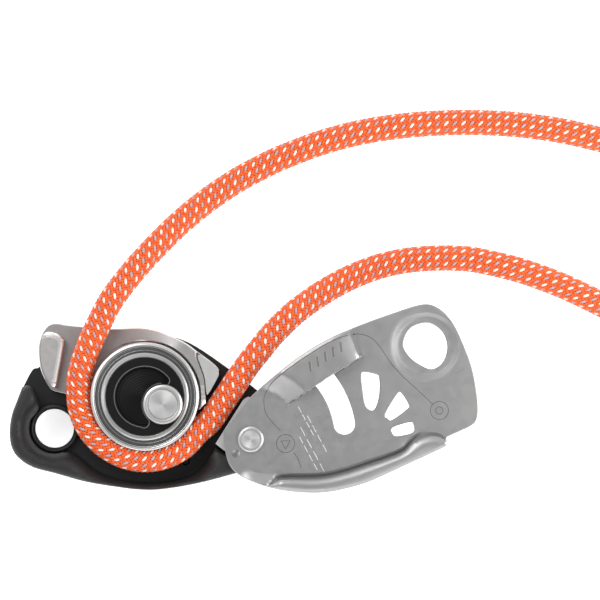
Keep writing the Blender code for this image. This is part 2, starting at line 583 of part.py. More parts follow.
def wheel_rim():
    """Grooved outer ring; the groove is a circular arc a little wider than the rope."""
    groove_r = ROPE_R + 0.4
    centre_r = GROOVE_ROOT_R + groove_r
    half = math.degrees(math.acos((centre_r - WHEEL_R) / groove_r))
    groove = [(centre_r - groove_r * math.cos(math.radians(a)), ROPE_Z + groove_r * math.sin(math.radians(a)))
              for a in [half - 2 * half * i / 8 for i in range(9)]]
    low, high = WHEEL_Z
    profile = ([(18.7, high - 0.2), (18.95, high), (20.1, high), (WHEEL_R, high - 0.3)] + groove
               + [(WHEEL_R, low + 0.3), (20.1, low), (17.4, low), (17.2, low + 0.2), (17.2, 28.2), (18.55, 28.2)])
    return turned("wheel_rim", profile, WHEEL, BRIGHT_STEEL, 48)


def coil(name, centre, radius, levels, turns, start, wire, legs, look):
    """Torsion spring: a flat helix with a straight leg at each end."""
    count = int(turns * 14)
    points = []
    for i in range(count + 1):
        x, y = polar(centre, radius, start + 360.0 * turns * i / count)
        points.append((x, y, levels[0] + (levels[1] - levels[0]) * i / count))
    first_leg, last_leg = legs
    points = [(*polar(points[0][:2], first_leg[1], first_leg[0]), points[0][2])] + points
    points.append((*polar(points[-1][:2], last_leg[1], last_leg[0]), points[-1][2]))
    return tube(name, points, wire, look, 2, centre)


def tube(name, points, radius, look, resolution, origin=(0.0, 0.0), as_curve=False):
    data = bpy.data.curves.new(name, "CURVE")
    data.dimensions = "3D"
    data.bevel_depth = radius * MM
    data.bevel_resolution = resolution
    data.use_fill_caps = True
    spline = data.splines.new("POLY")
    spline.points.add(len(points) - 1)
    for point, (x, y, z) in zip(spline.points, points):
        point.co = ((x - origin[0]) * MM, (y - origin[1]) * MM, z * MM, 1.0)
    if as_curve:
        obj = bpy.data.objects.new(name, data)
        MODEL.objects.link(obj)
        data.materials.append(finish_material(name, *look))
        return obj
    obj = add_object(name, mesh_from_curve(name, data), (*origin, 0.0))
    return dress(obj, look)


# ---------------------------------------------------------------- handle group
def handle_crank():
    """Arm keyed to the back end of the axle; its hub carries the return spring."""
    arm = prism("handle_crank", [stadium(AXLE, CRANK, 7.6, 5.6), ring_points(AXLE, 3.9, 24),
                                 ring_points(CRANK, CRANK_BORE_R, 24)], CRANK_Z, SPRING_STEEL, AXLE)
    hub = turned("crank_hub", [(5.3, 11.2), (5.3, 8.0), (3.9, 8.0), (3.9, 11.2)], AXLE, SPRING_STEEL, 24)
    return boolean(arm, hub, "UNION")


def axle_clip():
    """Retaining ring in the groove at the axle's back end."""
    ring = arc(AXLE, 4.8, 40.0, 320.0, 18) + arc(AXLE, 3.2, 320.0, 40.0, 14)
    return prism("axle_clip", [ring], (5.4, 5.8), SPRING_STEEL, AXLE)


def crank_washer():
    return turned("crank_washer", [(5.6, 6.6), (5.6, 6.1), (3.8, 6.1), (3.8, 6.6)], AXLE, BRIGHT_STEEL, 24)


def handle_pieces():
    tip = polar(CRANK, HANDLE_LENGTH, HANDLE_ANGLE)
    tang_end = polar(CRANK, HANDLE_LENGTH - TANG_SHORT, HANDLE_ANGLE)
    prism("handle_lever", [stadium(CRANK, tang_end, 4.8, 3.0), ring_points(CRANK, CRANK_BORE_R)], LEVER_Z,
          SPRING_STEEL, CRANK)
    start = polar(CRANK, 14.0, HANDLE_ANGLE)
    grip = prism("handle_grip", [stadium(start, tip, 5.2, 4.7)], (0.0, 6.4), BLACK_NYLON, CRANK)
    bevel(grip, 1.0)
    pocket_z = (LEVER_Z[0] - GAP, LEVER_Z[1] + GAP)
    boolean(grip, prism("tang_pocket", [stadium(CRANK, tang_end, 4.8 + GAP, 3.0 + GAP)], pocket_z, BLACK_NYLON))
    notch = stadium(CRANK, polar(CRANK, 8.0, HANDLE_ANGLE), 6.6, 6.5)
    boolean(grip, prism("grip_notch", [notch], (-1.0, 9.0), BLACK_NYLON))
    turned("handle_rivet", [(0.0, 10.6), (3.4, 10.6), (3.6, 10.4), (3.6, 9.1), (2.0, 9.1), (2.0, 1.2), (3.8, 1.2),
                            (3.8, 0.3), (3.5, 0.0), (0.0, 0.0)], CRANK, BRIGHT_STEEL, 24)
    coil("handle_spring", CRANK, 3.0, (5.6, 6.4), 1.2, 60.0, 0.28, ((-20.0, 4.0), (222.0, 2.0)), SPRING_STEEL)


def cam_return_spring():
    return coil("cam_return_spring", AXLE, 6.5, (9.6, 10.8), 1.6, 0.0, 0.3, ((270.0, 9.0), (306.0, 4.0)),
                SPRING_STEEL)


# ---------------------------------------------------------------- rope
def smooth_route(points, step):
    """Catmull-Rom route through the points, sampled about every step."""
    padded = [points[0]] + points + [points[-1]]
    fine = []
    for i in range(1, len(padded) - 2):
        before, start, end, after = (Vector(padded[i + k]) for k in (-1, 0, 1, 2))
        for k in range(20):
            t = k / 20
            fine.append(0.5 * (2 * start + (end - before) * t
                               + (2 * before - 5 * start + 4 * end - after) * t * t
                               + (3 * start - before - 3 * end + after) * t ** 3))
    fine.append(Vector(points[-1]))
    total = sum((b - a).length for a, b in zip(fine, fine[1:]))
    count = round(total / step)
    result, travelled, target = [fine[0]], 0.0, total / count
    for a, b in zip(fine, fine[1:]):
        length = (b - a).length
        while travelled + length >= target - 1e-6 and len(result) < count:
            result.append(a.lerp(b, (target - travelled) / length))
            target += total / count
        travelled += length
    return result + [fine[-1]]


def trimmed(points, start, end):
    """Route with its two ends drawn back by the given lengths."""
    points = list(points)
    points[0] = points[0] + (points[1] - points[0]).normalized() * start
    points[-1] = points[-1] + (points[-2] - points[-1]).normalized() * end
    return points


def channel_route():
    wrap_r = GROOVE_ROOT_R + ROPE_R + 0.4
    wrap = [(*polar(WHEEL, wrap_r + 1.2 * ramp(a, -120.0, -190.0), a), ROPE_Z) for a in range(-185, -34, 15)]
    return CHANNEL_START + wrap + CHANNEL_END


def rope_pieces():
    tube("rope_in_channel", smooth_route(channel_route(), 5.0), ROPE_R, ROPE_ORANGE, 3, as_curve=True)
    for name, route in (("climber", CLIMBER_ROUTE), ("brake", BRAKE_ROUTE)):
        path = smooth_route(route, ROPE_STEP)
        end = path[-1]
        back = (path[-2] - path[-1]).normalized()
        strand = trimmed(path, 2.5 * GAP, SLEEVE_LENGTH - 1.0)
        tube("rope_%s_strand" % name, strand, ROPE_R, ROPE_ORANGE, 3, as_curve=True)
        sleeve = [end + back * (SLEEVE_LENGTH - 1.0 - GAP), end]
        tube("%s_end_sleeve" % name, sleeve, ROPE_R, SLEEVE_BLACK, 3)


def build():
    fixed_plate()
    channel_shell()
    attachment_ring()
    back_cover()
    for index, spot in enumerate(SCREWS):
        cover_screw(index, spot)
    for index, spot in enumerate(INSERT_PINS):
        insert_pin(index, spot)
    wear_insert()
    axle_bush()
    pivot_pieces()
    moving_plate()
    cam_body()
    cam_nose_pad()
    cam_axle()
    wheel_hub()
    wheel_bearing()
    wheel_rim()
    handle_crank()
    axle_clip()
    crank_washer()
    handle_pieces()
    cam_return_spring()
    rope_pieces()


build()
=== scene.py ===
"""Looks of the rope descender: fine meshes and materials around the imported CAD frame.

Design values are millimetres and repeat the CAD model's; the scene itself is in metres.
"""
import math

import bmesh
import bpy
import numpy as np
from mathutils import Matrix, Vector, geometry


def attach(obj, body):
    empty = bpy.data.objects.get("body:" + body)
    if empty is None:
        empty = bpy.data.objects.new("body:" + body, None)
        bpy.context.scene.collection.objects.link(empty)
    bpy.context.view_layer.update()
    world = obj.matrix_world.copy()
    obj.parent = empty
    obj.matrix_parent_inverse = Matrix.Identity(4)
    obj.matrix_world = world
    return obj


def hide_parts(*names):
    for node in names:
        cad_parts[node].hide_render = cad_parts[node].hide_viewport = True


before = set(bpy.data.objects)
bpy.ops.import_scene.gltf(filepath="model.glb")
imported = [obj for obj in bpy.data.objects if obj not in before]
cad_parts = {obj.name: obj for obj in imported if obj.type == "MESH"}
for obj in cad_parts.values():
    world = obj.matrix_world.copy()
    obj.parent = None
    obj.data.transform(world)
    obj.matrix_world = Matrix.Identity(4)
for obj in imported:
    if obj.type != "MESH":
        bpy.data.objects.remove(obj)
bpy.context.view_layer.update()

MM = 0.001

# ---- centres and radii
PIVOT = (2.8, -15.4)
HOLE_RADIUS_FROM_PIVOT = 74.3
FIXED_HOLE_ANGLE = 177.1
OPEN_HOLE_ANGLE = 28.1
AXLE_FROM_PIVOT = 35.5
AXLE_ANGLE = 158.3
WHEEL_FROM_AXLE = (-6.9, 2.8)
CRANK_FROM_AXLE = (-21.7, 14.6)
HOLE_R = 7.3
WHEEL_R = 20.4
GROOVE_ROOT_R = 18.4
ROPE_R = 4.9
POCKET_R = 21.0
SEAL_R = (16.62, 18.52)
SEAL_Z = (28.5, 29.2)
SEAL_DEPTH = 1.5
NECK_R = 3.5
AXLE_HEAD_R = 7.5
AXLE_BODY_R = 5.0
SMALL_HOLE_R = 1.6              # for screws and pins
RIVET_R = 2.9
RIVET_HEAD_R = 4.9
RUN = 0.1
GAP = 0.3

# ---- levels
COVER_Z = (0.0, 11.2)
PLATE_Z = (11.5, 14.5)
CAM_Z = (14.9, 18.0)
CAM_BLOCK_TOP = 28.0
CAM_FALL = (52.0, 122.0)        # angles round the wheel between which the cam's top falls
LUG_TOP = 22.5
LUG_ROUND = 1.3
ROPE_Z = 24.0
SHELL_Z = (14.8, 30.6)
BOSS_TOP = 28.9
SHELL_ROUND = 2.6
BOSS_X = (-66.0, -58.0)         # the shell's top rises from the boss to the lip between these x
CHANNEL_SLOPE = (7.5, 4.6)      # depth and width of the slope down to the rope's channel
CHANNEL_SLOPE_X = (-71.0, -62.0)
HOLE_DIP = (7.0, 4.2)           # depth and width of the dip round the attachment hole
HOLE_RING_R = 9.4
FACET_DROP = 1.2                # how far the shell's right end slopes down
SIDE_PLATE_Z = 31.0
SIDE_PLATE_T = 2.2
RECESS_Z = 27.2
CRANK_Z = (6.9, 8.8)
LEVER_Z = (1.5, 5.0)

# ---- side plate forming
BRIDGE_RISE = 5.4
BRIDGE_RAMP = (19.0, 27.4)      # distances from the pivot where the bridge starts and reaches its height
BRIDGE_EDGE = ((16.3, -2.1), (44.7, 15.9))
BRIDGE_END_NORMAL = (0.928, 0.373)
BRIDGE_FALL = 9.0               # length of the gentle fall before the far end
BRIDGE_SAG = 0.22               # share of its height that it loses in that fall
BRIDGE_EASE = 0.35              # how rounded its rising end is, from 0 to 1
BRIDGE_BEND = 1.6               # length of the bend down to the far end
LIP = (1.6, 0.5)                # width and depth of the bridge's rolled outer edge
SLIT_W = 0.08
SLOT_HALF = 4.0                 # half width of the latch slot
DISH_DEPTH = 1.5
DISH_R = (10.6, 13.0)           # radii of the dish's floor and of its top
SHEET_ROUND = 0.32              # chamfer of the sheet's edges
RIM_RISE = 4.2
RIM_START = (8.0, 14.5)         # x from where to where the rim swells out of the sheet
GUSSET = ((-1.0, -26.8), (6.0, -28.0), (13.9, -29.3))
GUSSET_X = (-2.0, 4.0, 8.5, 13.5)   # x where the facet starts, is whole, starts to end and ends
GUSSET_SLOPE = 0.6
GUSSET_W = 3.5
RIM_FOLD = (1.1, 0.55)          # depth and half width of the crease along the rim
RIM_FOLD_END = (60.0, 70.0)
RIM_CREST = 0.58                # share of the rim's width where it stands highest
PLATE_MESH = 1.25               # spacing of the side plate's mesh points
# rows of mesh points along the rim, as shares of the way from its fold to its outer edge
RIM_ROWS = (-0.16, -0.08, 0.0, 0.08, 0.16, 0.25, 0.36, 0.48, 0.6, 0.72, 0.85)

FLOOR = ROPE_R + 0.05


def polar(centre, radius, degrees):
    a = math.radians(degrees)
    return (centre[0] + radius * math.cos(a), centre[1] + radius * math.sin(a))


def arc(centre, radius, start, end, count):
    return [polar(centre, radius, start + (end - start) * i / count) for i in range(count + 1)]


AXLE = polar(PIVOT, AXLE_FROM_PIVOT, AXLE_ANGLE)
WHEEL = (AXLE[0] + WHEEL_FROM_AXLE[0], AXLE[1] + WHEEL_FROM_AXLE[1])
CRANK = (AXLE[0] + CRANK_FROM_AXLE[0], AXLE[1] + CRANK_FROM_AXLE[1])
FIXED_HOLE = polar(PIVOT, HOLE_RADIUS_FROM_PIVOT, FIXED_HOLE_ANGLE)
OPEN_HOLE = polar(PIVOT, HOLE_RADIUS_FROM_PIVOT, OPEN_HOLE_ANGLE)

# ---- outlines, as in the CAD model
BODY_LOWER = [(-83.2, 4.0), (-85.3, -1.5), (-87.1, -6.5), (-87.9, -13.1), (-87.0, -18.8),
              (-84.2, -22.8), (-78.9, -26.1), (-70.7, -28.3), (-60.2, -31.2), (-47.8, -33.4),
              (-37.7, -34.5), (-29.1, -34.1), (-16.7, -31.9), (-2.4, -28.1), (6.9, -25.2),
              (12.6, -19.5), (14.1, -12.0)]
BODY_UPPER = [(11.4, -3.8), (5.1, 2.6), (-5.6, 10.7), (-18.2, 19.3), (-26.5, 22.8), (-37.0, 24.6),
              (-53.8, 24.0), (-69.5, 22.0), (-74.4, 17.2), (-77.1, 11.6), (-79.8, 10.4)]
LIP_INNER = [(-10.5, -18.8), (-14.1, -24.2), (-17.8, -28.3), (-24.2, -30.8), (-34.3, -32.1),
             (-44.1, -31.4), (-50.8, -29.6), (-56.4, -27.0), (-61.3, -22.9), (-64.7, -20.6),
             (-67.9, -20.6)]
LIP_TOP = [(-80.0, -7.9), (-77.6, -4.9), (-77.2, -2.6), (-79.3, 3.0), (-80.3, 4.3), (-81.8, 4.7)]
SHELL_RIGHT = [(12.0, -17.0), (8.0, -20.6), (2.8, -21.4), (-3.0, -21.3), (-7.2, -20.6)]
COVER_OUTLINE = [(-60.0, -30.8), (-47.8, -33.1), (-37.7, -34.2), (-29.1, -33.8), (-16.7, -31.6),
                 (-2.4, -27.8), (6.7, -24.9), (12.3, -19.3), (13.7, -12.0), (11.1, -4.2), (6.0, 0.8),
                 (1.6, -4.6), (-3.4, -11.4), (-10.0, -14.0), (-30.0, -14.6), (-46.0, -15.0),
                 (-57.0, -18.0), (-61.6, -24.0)]
CAM_TOP = [(-9.2, 10.2), (-10.5, 12.0), (-14.2, 15.0), (-17.3, 17.2), (-22.9, 21.2), (-32.2, 24.9),
           (-39.7, 26.2), (-50.2, 26.0), (-65.1, 27.2), (-70.3, 28.0), (-73.1, 27.6), (-75.0, 25.9),
           (-76.5, 23.0), (-77.4, 18.5), (-76.8, 11.6), (-75.2, 7.2), (-73.1, 3.4), (-70.5, 2.2),
           (-66.0, 1.2)]
LUG = [(-76.3, 21.0), (-75.6, 23.2), (-74.0, 24.8), (-70.3, 24.2), (-68.2, 22.3), (-67.5, 19.7),
       (-70.3, 3.6), (-72.2, 4.4), (-74.4, 7.9), (-75.8, 11.8), (-76.6, 17.0)]
NOSE_PAD = [(-17.2, 15.9), (-14.2, 14.8), (-10.2, 11.6), (-9.4, 9.6), (-9.8, 7.6), (-13.2, 1.6),
            (-14.0, 2.4), (-14.6, 7.5), (-16.0, 11.7)]
INSERT = [(-10.5, -17.1), (-1.1, -2.2), (-0.2, -0.8), (1.6, 0.3), (3.2, -0.6), (3.0, -2.4),
          (-3.9, -13.8), (-4.6, -17.9), (-7.1, -19.8)]
SIDE_OUTLINE = [(-7.3, -12.8), (-7.2, -17.6), (-5.6, -24.2), (-2.7, -28.0), (1.6, -30.4), (7.3, -32.7),
                (13.8, -34.3), (21.0, -35.2), (28.2, -35.4), (35.3, -34.5), (44.7, -32.1),
                (51.8, -29.2), (62.6, -24.2), (76.0, -18.0), (76.2, -14.6), (80.6, -12.6),
                (85.6, -10.2), (87.5, -7.6), (87.9, -3.4), (87.3, 3.0), (85.6, 11.6), (82.7, 19.5),
                (79.8, 26.0), (76.9, 30.4), (73.3, 33.7), (69.1, 35.3), (64.1, 34.6), (55.4, 31.7),
                (48.3, 29.2), (39.6, 25.8), (33.9, 23.3), (26.7, 19.4), (19.6, 14.7), (13.8, 10.2),
                (7.3, 4.7), (1.6, -0.6), (-2.7, -6.0), (-6.2, -10.8)]
SIDE_CORNERS = ((76.0, -18.0), (76.2, -14.6))
RIM_INNER = [(9.2, -33.0), (13.9, -29.4), (28.2, -28.9), (37.5, -27.0), (46.1, -24.2), (52.6, -22.1),
             (59.1, -19.5), (61.9, -16.7), (64.7, -14.2), (69.1, -12.8), (73.3, -13.1), (76.2, -15.2)]
RIM_OUTER = SIDE_OUTLINE[5:14]
OPEN_HOLE_OUTLINE = [(59.9, 20.6), (62.6, 26.2), (68.9, 28.2), (74.2, 25.2), (76.4, 19.5), (74.8, 13.7),
                     (70.6, 10.9), (65.4, 13.0), (61.6, 16.4)]
KITES = [[(44.2, 8.8), (45.4, 9.8), (49.7, 8.9), (50.9, 7.4), (50.8, 0.9), (48.9, -4.4), (45.8, -3.0),
          (44.6, 3.6)],
         [(57.7, 1.7), (59.4, 1.6), (61.9, -2.4), (61.5, -3.9), (55.8, -8.1), (54.1, -7.6), (53.1, -5.9)],
         [(55.9, -11.0), (62.2, -9.0), (63.6, -9.7), (63.5, -12.8), (57.6, -14.2), (55.9, -13.3)]]

SCREWS = [(-54.5, -29.8), (0.0, -24.6), (-22.0, -24.0)]
INSERT_PINS = [(-6.9, -15.6), (-0.6, -5.2)]
SWING = 149.0                   # how far the side plate turns to shut
HANDLE_ANGLE = -9.0
HANDLE_LENGTH = 42.0

# ---- marks on the side plate
ROPE_LINE = [(13.7, -12.0), (8.8, -6.4), (7.7, -1.9), (8.4, 2.2), (12.4, 7.5), (23.1, 15.4),
             (33.9, 21.8), (41.8, 24.0), (46.7, 23.2), (50.4, 20.2), (55.3, 13.1), (59.8, 8.1),
             (65.4, 3.0)]
CLIMBER_MARK = (73.4, -4.6)
HAND_MARK = (15.8, -17.0)
MARK_R = 3.4
TAIL_LINE = [(18.9, -20.4), (20.4, -22.6), (21.6, -26.0)]
STROKES = [((20.6, -3.2), 12.0), ((24.0, -6.6), 15.0), ((21.4, -10.8), 19.0), ((21.0, -14.4), 14.0)]
STROKE_ANGLE = -62.0
DIMPLE = (-2.8, -20.8)
PANEL_MIDDLE = (30.8, 15.6)     # on the bridge
PANEL_ALONG = (0.845, 0.535)
BAR_SPACING = 3.4
BAR_HALF = (1.7, 0.8)           # half of a bar, across the bridge and along it
ARROW_R = 2.0
DASHES = 4                      # in each row; a dash and its step are shares of the row's length
DASH_SHARE = 0.2
DASH_STEP = 0.27

# ---- rope route (x, y, z), as in the CAD model
CHANNEL_START = [(-50.1, 36.2, ROPE_Z), (-53.6, 29.6, ROPE_Z), (-58.2, 19.4, ROPE_Z),
                 (-61.4, 9.5, ROPE_Z)]
CHANNEL_END = [(-12.6, -8.5, ROPE_Z), (-8.9, -3.1, ROPE_Z), (-5.1, 2.6, ROPE_Z), (-1.3, 8.3, ROPE_Z),
               (2.4, 13.5, 23.7), (6.2, 18.2, 23.2)]
CLIMBER_ROUTE = [(-50.1, 36.2, ROPE_Z), (-46.3, 41.6, 23.6), (-42.6, 46.3, 22.7), (-38.8, 50.8, 21.3),
                 (-31.3, 58.9, 17.6), (-23.8, 66.2, 13.3), (-16.3, 72.6, 9.6), (-8.8, 78.1, 7.0),
                 (-1.3, 82.9, 5.6), (6.2, 86.9, FLOOR), (13.7, 90.5, FLOOR), (28.7, 96.2, FLOOR),
                 (43.7, 100.2, FLOOR), (58.7, 102.6, FLOOR), (73.7, 103.8, FLOOR), (88.7, 104.0, FLOOR),
                 (103.7, 103.2, FLOOR), (118.7, 101.2, FLOOR), (129.9, 98.8, FLOOR),
                 (139.0, 96.5, FLOOR), (147.6, 94.0, FLOOR)]
BRAKE_ROUTE = [(6.2, 18.2, 23.2), (9.9, 22.8, 22.0), (13.7, 26.8, 20.4), (17.4, 30.4, 18.5),
               (21.2, 33.6, 16.4), (28.7, 38.9, 12.1), (36.2, 43.3, 8.6), (43.7, 46.8, 6.2),
               (51.2, 49.5, 5.1), (58.7, 51.3, FLOOR), (66.2, 52.3, FLOOR), (73.7, 52.7, FLOOR),
               (81.2, 52.6, FLOOR), (88.7, 51.8, FLOOR), (103.7, 48.3, FLOOR), (118.7, 43.0, FLOOR),
               (129.9, 37.9, FLOOR), (138.6, 33.6, FLOOR), (146.8, 29.2, FLOOR)]
SLEEVE_LENGTH = 9.0

# ---- camera and light
VIEW_CENTRE = (21.2, 36.8)      # what the middle of the picture shows
VIEW_WIDTH = 225.0
LENS = 400.0
SENSOR = 36.0


def add_camera():
    data = bpy.data.cameras.new("camera")
    data.lens = LENS
    data.sensor_width = SENSOR
    data.clip_end = 20.0
    obj = bpy.data.objects.new("camera", data)
    distance = VIEW_WIDTH * LENS / SENSOR
    obj.location = Vector((*VIEW_CENTRE, SIDE_PLATE_Z + distance)) * MM
    bpy.context.scene.collection.objects.link(obj)
    bpy.context.scene.camera = obj


def add_area(name, location, target, size, power):
    data = bpy.data.lights.new(name, "AREA")
    data.shape = "RECTANGLE"
    data.size, data.size_y = size
    data.energy = power
    obj = bpy.data.objects.new(name, data)
    obj.location = location
    obj.rotation_euler = (Vector(target) - Vector(location)).to_track_quat("-Z", "Y").to_euler()
    bpy.context.scene.collection.objects.link(obj)


def add_stage():
    floor_data = bpy.data.meshes.new("floor")
    bm = bmesh.new()
    bmesh.ops.create_grid(bm, x_segments=1, y_segments=1, size=3.0)
    bm.to_mesh(floor_data)
    bm.free()
    floor = bpy.data.objects.new("floor", floor_data)
    bpy.context.scene.collection.objects.link(floor)
    floor.data.materials.append(look("floor_paint"))
    add_area("key", (-0.5, 0.55, 0.9), (0, 0, 0), (0.6, 0.6), 5.0)
    add_area("fill", (0.7, -0.2, 0.8), (0.02, 0, 0), (0.5, 0.9), 2.5)
    add_area("low_front", (0.0, -0.9, 0.5), (0, 0, 0), (1.2, 0.3), 2.0)
    add_area("right", (0.34, 0.02, 0.28), (0.06, 0.0, 0.03), (0.2, 0.25), 0.75)


def add_world():
    """White tent, dimmer straight above, so that flat faces stay grey and edges catch the light."""
    world = bpy.data.worlds.new("studio")
    world.use_nodes = True
    tree = world.node_tree
    background = tree.nodes["Background"]
    background.inputs["Color"].default_value = (1.0, 1.0, 1.0, 1.0)
    direction = tree.nodes.new("ShaderNodeTexCoord")
    height = tree.nodes.new("ShaderNodeSeparateXYZ")
    tree.links.new(direction.outputs["Generated"], height.inputs[0])
    fade = tree.nodes.new("ShaderNodeMapRange")
    for key, value in (("From Min", 0.5), ("From Max", 0.97), ("To Min", 1.15), ("To Max", 0.42)):
        fade.inputs[key].default_value = value
    tree.links.new(height.outputs["Z"], fade.inputs["Value"])
    tree.links.new(fade.outputs["Result"], background.inputs["Strength"])
    bpy.context.scene.world = world


# ---- materials
def grey(level, blue=1.0):
    return (level, level, level * blue)


def steel(level, roughness=0.34, rings=1.1):
    """Turned steel, whose rings vary its roughness and its height."""
    return {"colour": grey(level, 0.99), "metallic": 1.0, "bump": (rings, 0.0015),
            "wear": (rings, roughness - 0.03, roughness + 0.04)}


# tones are (marks, low colour, high colour), wear is (marks, low roughness, high roughness) and bump is
# (marks, depth in mm). Marks are a noise's (scale, detail) or (scale, detail, stretch), or one number
# for rings.
LOOKS = {
    "floor_paint": {"colour": grey(0.9), "roughness": 0.9, "bump": ((0.5, 3.0), 0.02),
                    "Emission Strength": 0.6, "Emission Color": (1.0, 1.0, 1.0, 1.0)},
    "anodised_grey": {"colour": grey(0.36), "metallic": 1.0, "bump": ((7.0, 2.0), 0.012),
                      "tones": ((0.04, 3.0), grey(0.345, 1.006), grey(0.37, 0.992)),
                      "wear": ((0.35, 5.0), 0.38, 0.44)},
    # Colour for rounded edges, meant as a painted highlight: lighter than the anodised grey, a little
    # darker than the milled steel.
    "chamfer_painted_highlight": {"colour": grey(0.5, 0.99), "metallic": 1.0, "wear": ((1.5, 3.0), 0.24, 0.42)},
    # Darker grey on the dimple and the bridge's raised bars: painted shade.
    "stamp_painted_shade": {"colour": grey(0.2), "metallic": 1.0, "wear": ((0.6, 3.0), 0.4, 0.5)},
    "cast_steel": {"colour": (0.38, 0.365, 0.36), "metallic": 1.0, "wear": ((0.5, 4.0), 0.38, 0.52),
                   "tones": ((0.06, 4.0), (0.35, 0.336, 0.332), (0.40, 0.388, 0.384)),
                   "bump": ((5.0, 3.0), 0.02)},
    # Near-white colour on the cam's rounded edges and the lug's ridge: a painted highlight.
    "cast_edge_painted_highlight": {"colour": (0.75, 0.74, 0.73), "metallic": 0.95, "wear": ((1.2, 3.0), 0.25, 0.4)},
    "lug_steel": {"colour": (0.49, 0.48, 0.475), "metallic": 1.0, "wear": ((0.5, 4.0), 0.38, 0.48)},
    "pin_steel": steel(0.54),
    "axle_steel": steel(0.6),
    "race_steel": steel(0.46),
    "rim_steel": steel(0.6, 0.3),
    "fastener_steel": steel(0.66, 0.28),
    "brushed_head": {"colour": grey(0.62), "roughness": 0.38, "metallic": 1.0, "bump": (5.0, 0.001),
                     "Anisotropic": 0.6},
    "seal_steel": {"colour": grey(0.4), "roughness": 0.24, "metallic": 1.0, "bump": (2.0, 0.001)},
    "milled_steel": {"colour": grey(0.68, 0.99), "metallic": 1.0,
                     "wear": ((2.2, 3.0, (0.3, 1.6, 1.0)), 0.3, 0.44),
                     "bump": ((2.2, 3.0, (0.3, 1.6, 1.0)), 0.01)},
    "spring_steel": {"colour": (0.5, 0.5, 0.52), "metallic": 1.0,
                     "wear": ((1.0, 4.0, (1.0, 8.0, 1.0)), 0.26, 0.4),
                     "bump": ((6.0, 3.0, (1.0, 8.0, 1.0)), 0.008)},
    "black_oxide": {"colour": grey(0.02, 1.1), "metallic": 0.6, "wear": ((1.5, 3.0), 0.3, 0.45)},
    "black_anodised": {"colour": grey(0.009, 1.1), "wear": ((0.8, 3.0), 0.34, 0.5),
                       "bump": ((9.0, 2.0), 0.006), "Specular IOR Level": 0.36},
    "black_machined": {"colour": grey(0.007, 1.1), "wear": (0.45, 0.38, 0.48), "bump": (0.45, 0.012),
                       "Specular IOR Level": 0.12},
    # Blacker colour for the floor of the hub's recess: painted shade.
    "recess_floor_painted_shade": {"colour": grey(0.003, 1.1), "wear": (0.35, 0.3, 0.5), "bump": (0.35, 0.09),
                     "Specular IOR Level": 0.18},
    "black_nylon": {"colour": grey(0.015, 1.06), "wear": ((1.2, 4.0), 0.42, 0.56),
                    "tones": ((0.07, 3.0), grey(0.012, 1.06), grey(0.018, 1.05)),
                    "bump": ((3.5, 4.0), 0.03), "Specular IOR Level": 0.32},
    # Lighter than the black anodising, for the rear plate's rounded edges: a painted highlight.
    "black_edge_painted_highlight": {"colour": grey(0.06, 1.03), "wear": ((2.0, 3.0), 0.32, 0.46)},
    # Dark grey in the small groove on the wheel's rim: painted shade.
    "rim_groove_painted_shade": {"colour": grey(0.07), "metallic": 0.6, "wear": ((3.0, 2.0), 0.45, 0.6)},
    # Grey on the black hub's rounded edges and in a ring round its recess: a painted highlight.
    "hub_edge_painted_highlight": {"colour": grey(0.16, 1.01), "metallic": 0.3, "wear": ((2.0, 3.0), 0.26, 0.4)},
    "pale_marking": {"colour": grey(0.62), "wear": ((4.0, 2.0), 0.5, 0.7)},
    "marking": {"colour": grey(0.06), "wear": ((4.0, 2.0), 0.5, 0.65)},
    "heat_shrink": {"colour": grey(0.02), "wear": ((0.6, 4.0), 0.38, 0.55), "bump": ((0.8, 4.0), 0.08)},
    # Dark red core that shows in the gaps between the strands: painted shade in the gaps.
    "rope_core": {"colour": (0.14, 0.006, 0.003), "roughness": 0.9,
                  "tones": ((1.5, 2.0), (0.08, 0.003, 0.002), (0.20, 0.010, 0.004))},
}
MARK_RANGE = (0.3, 0.7)         # where most of a noise's values lie
YARN_TONES = {"yarn_orange": ((0.72, 0.075, 0.004), (0.90, 0.13, 0.009)),
              "yarn_white": ((0.72, 0.60, 0.50), (0.86, 0.80, 0.74)),
              "yarn_lilac": ((0.38, 0.25, 0.27), (0.50, 0.38, 0.40))}
for yarn, (low_tone, high_tone) in YARN_TONES.items():
    LOOKS[yarn] = {"colour": high_tone, "roughness": 0.62, "tones": ((0.9, 3.0), low_tone, high_tone),
                   "bump": ((9.0, 3.0), 0.05), "Sheen Weight": 0.25, "Sheen Roughness": 0.4}


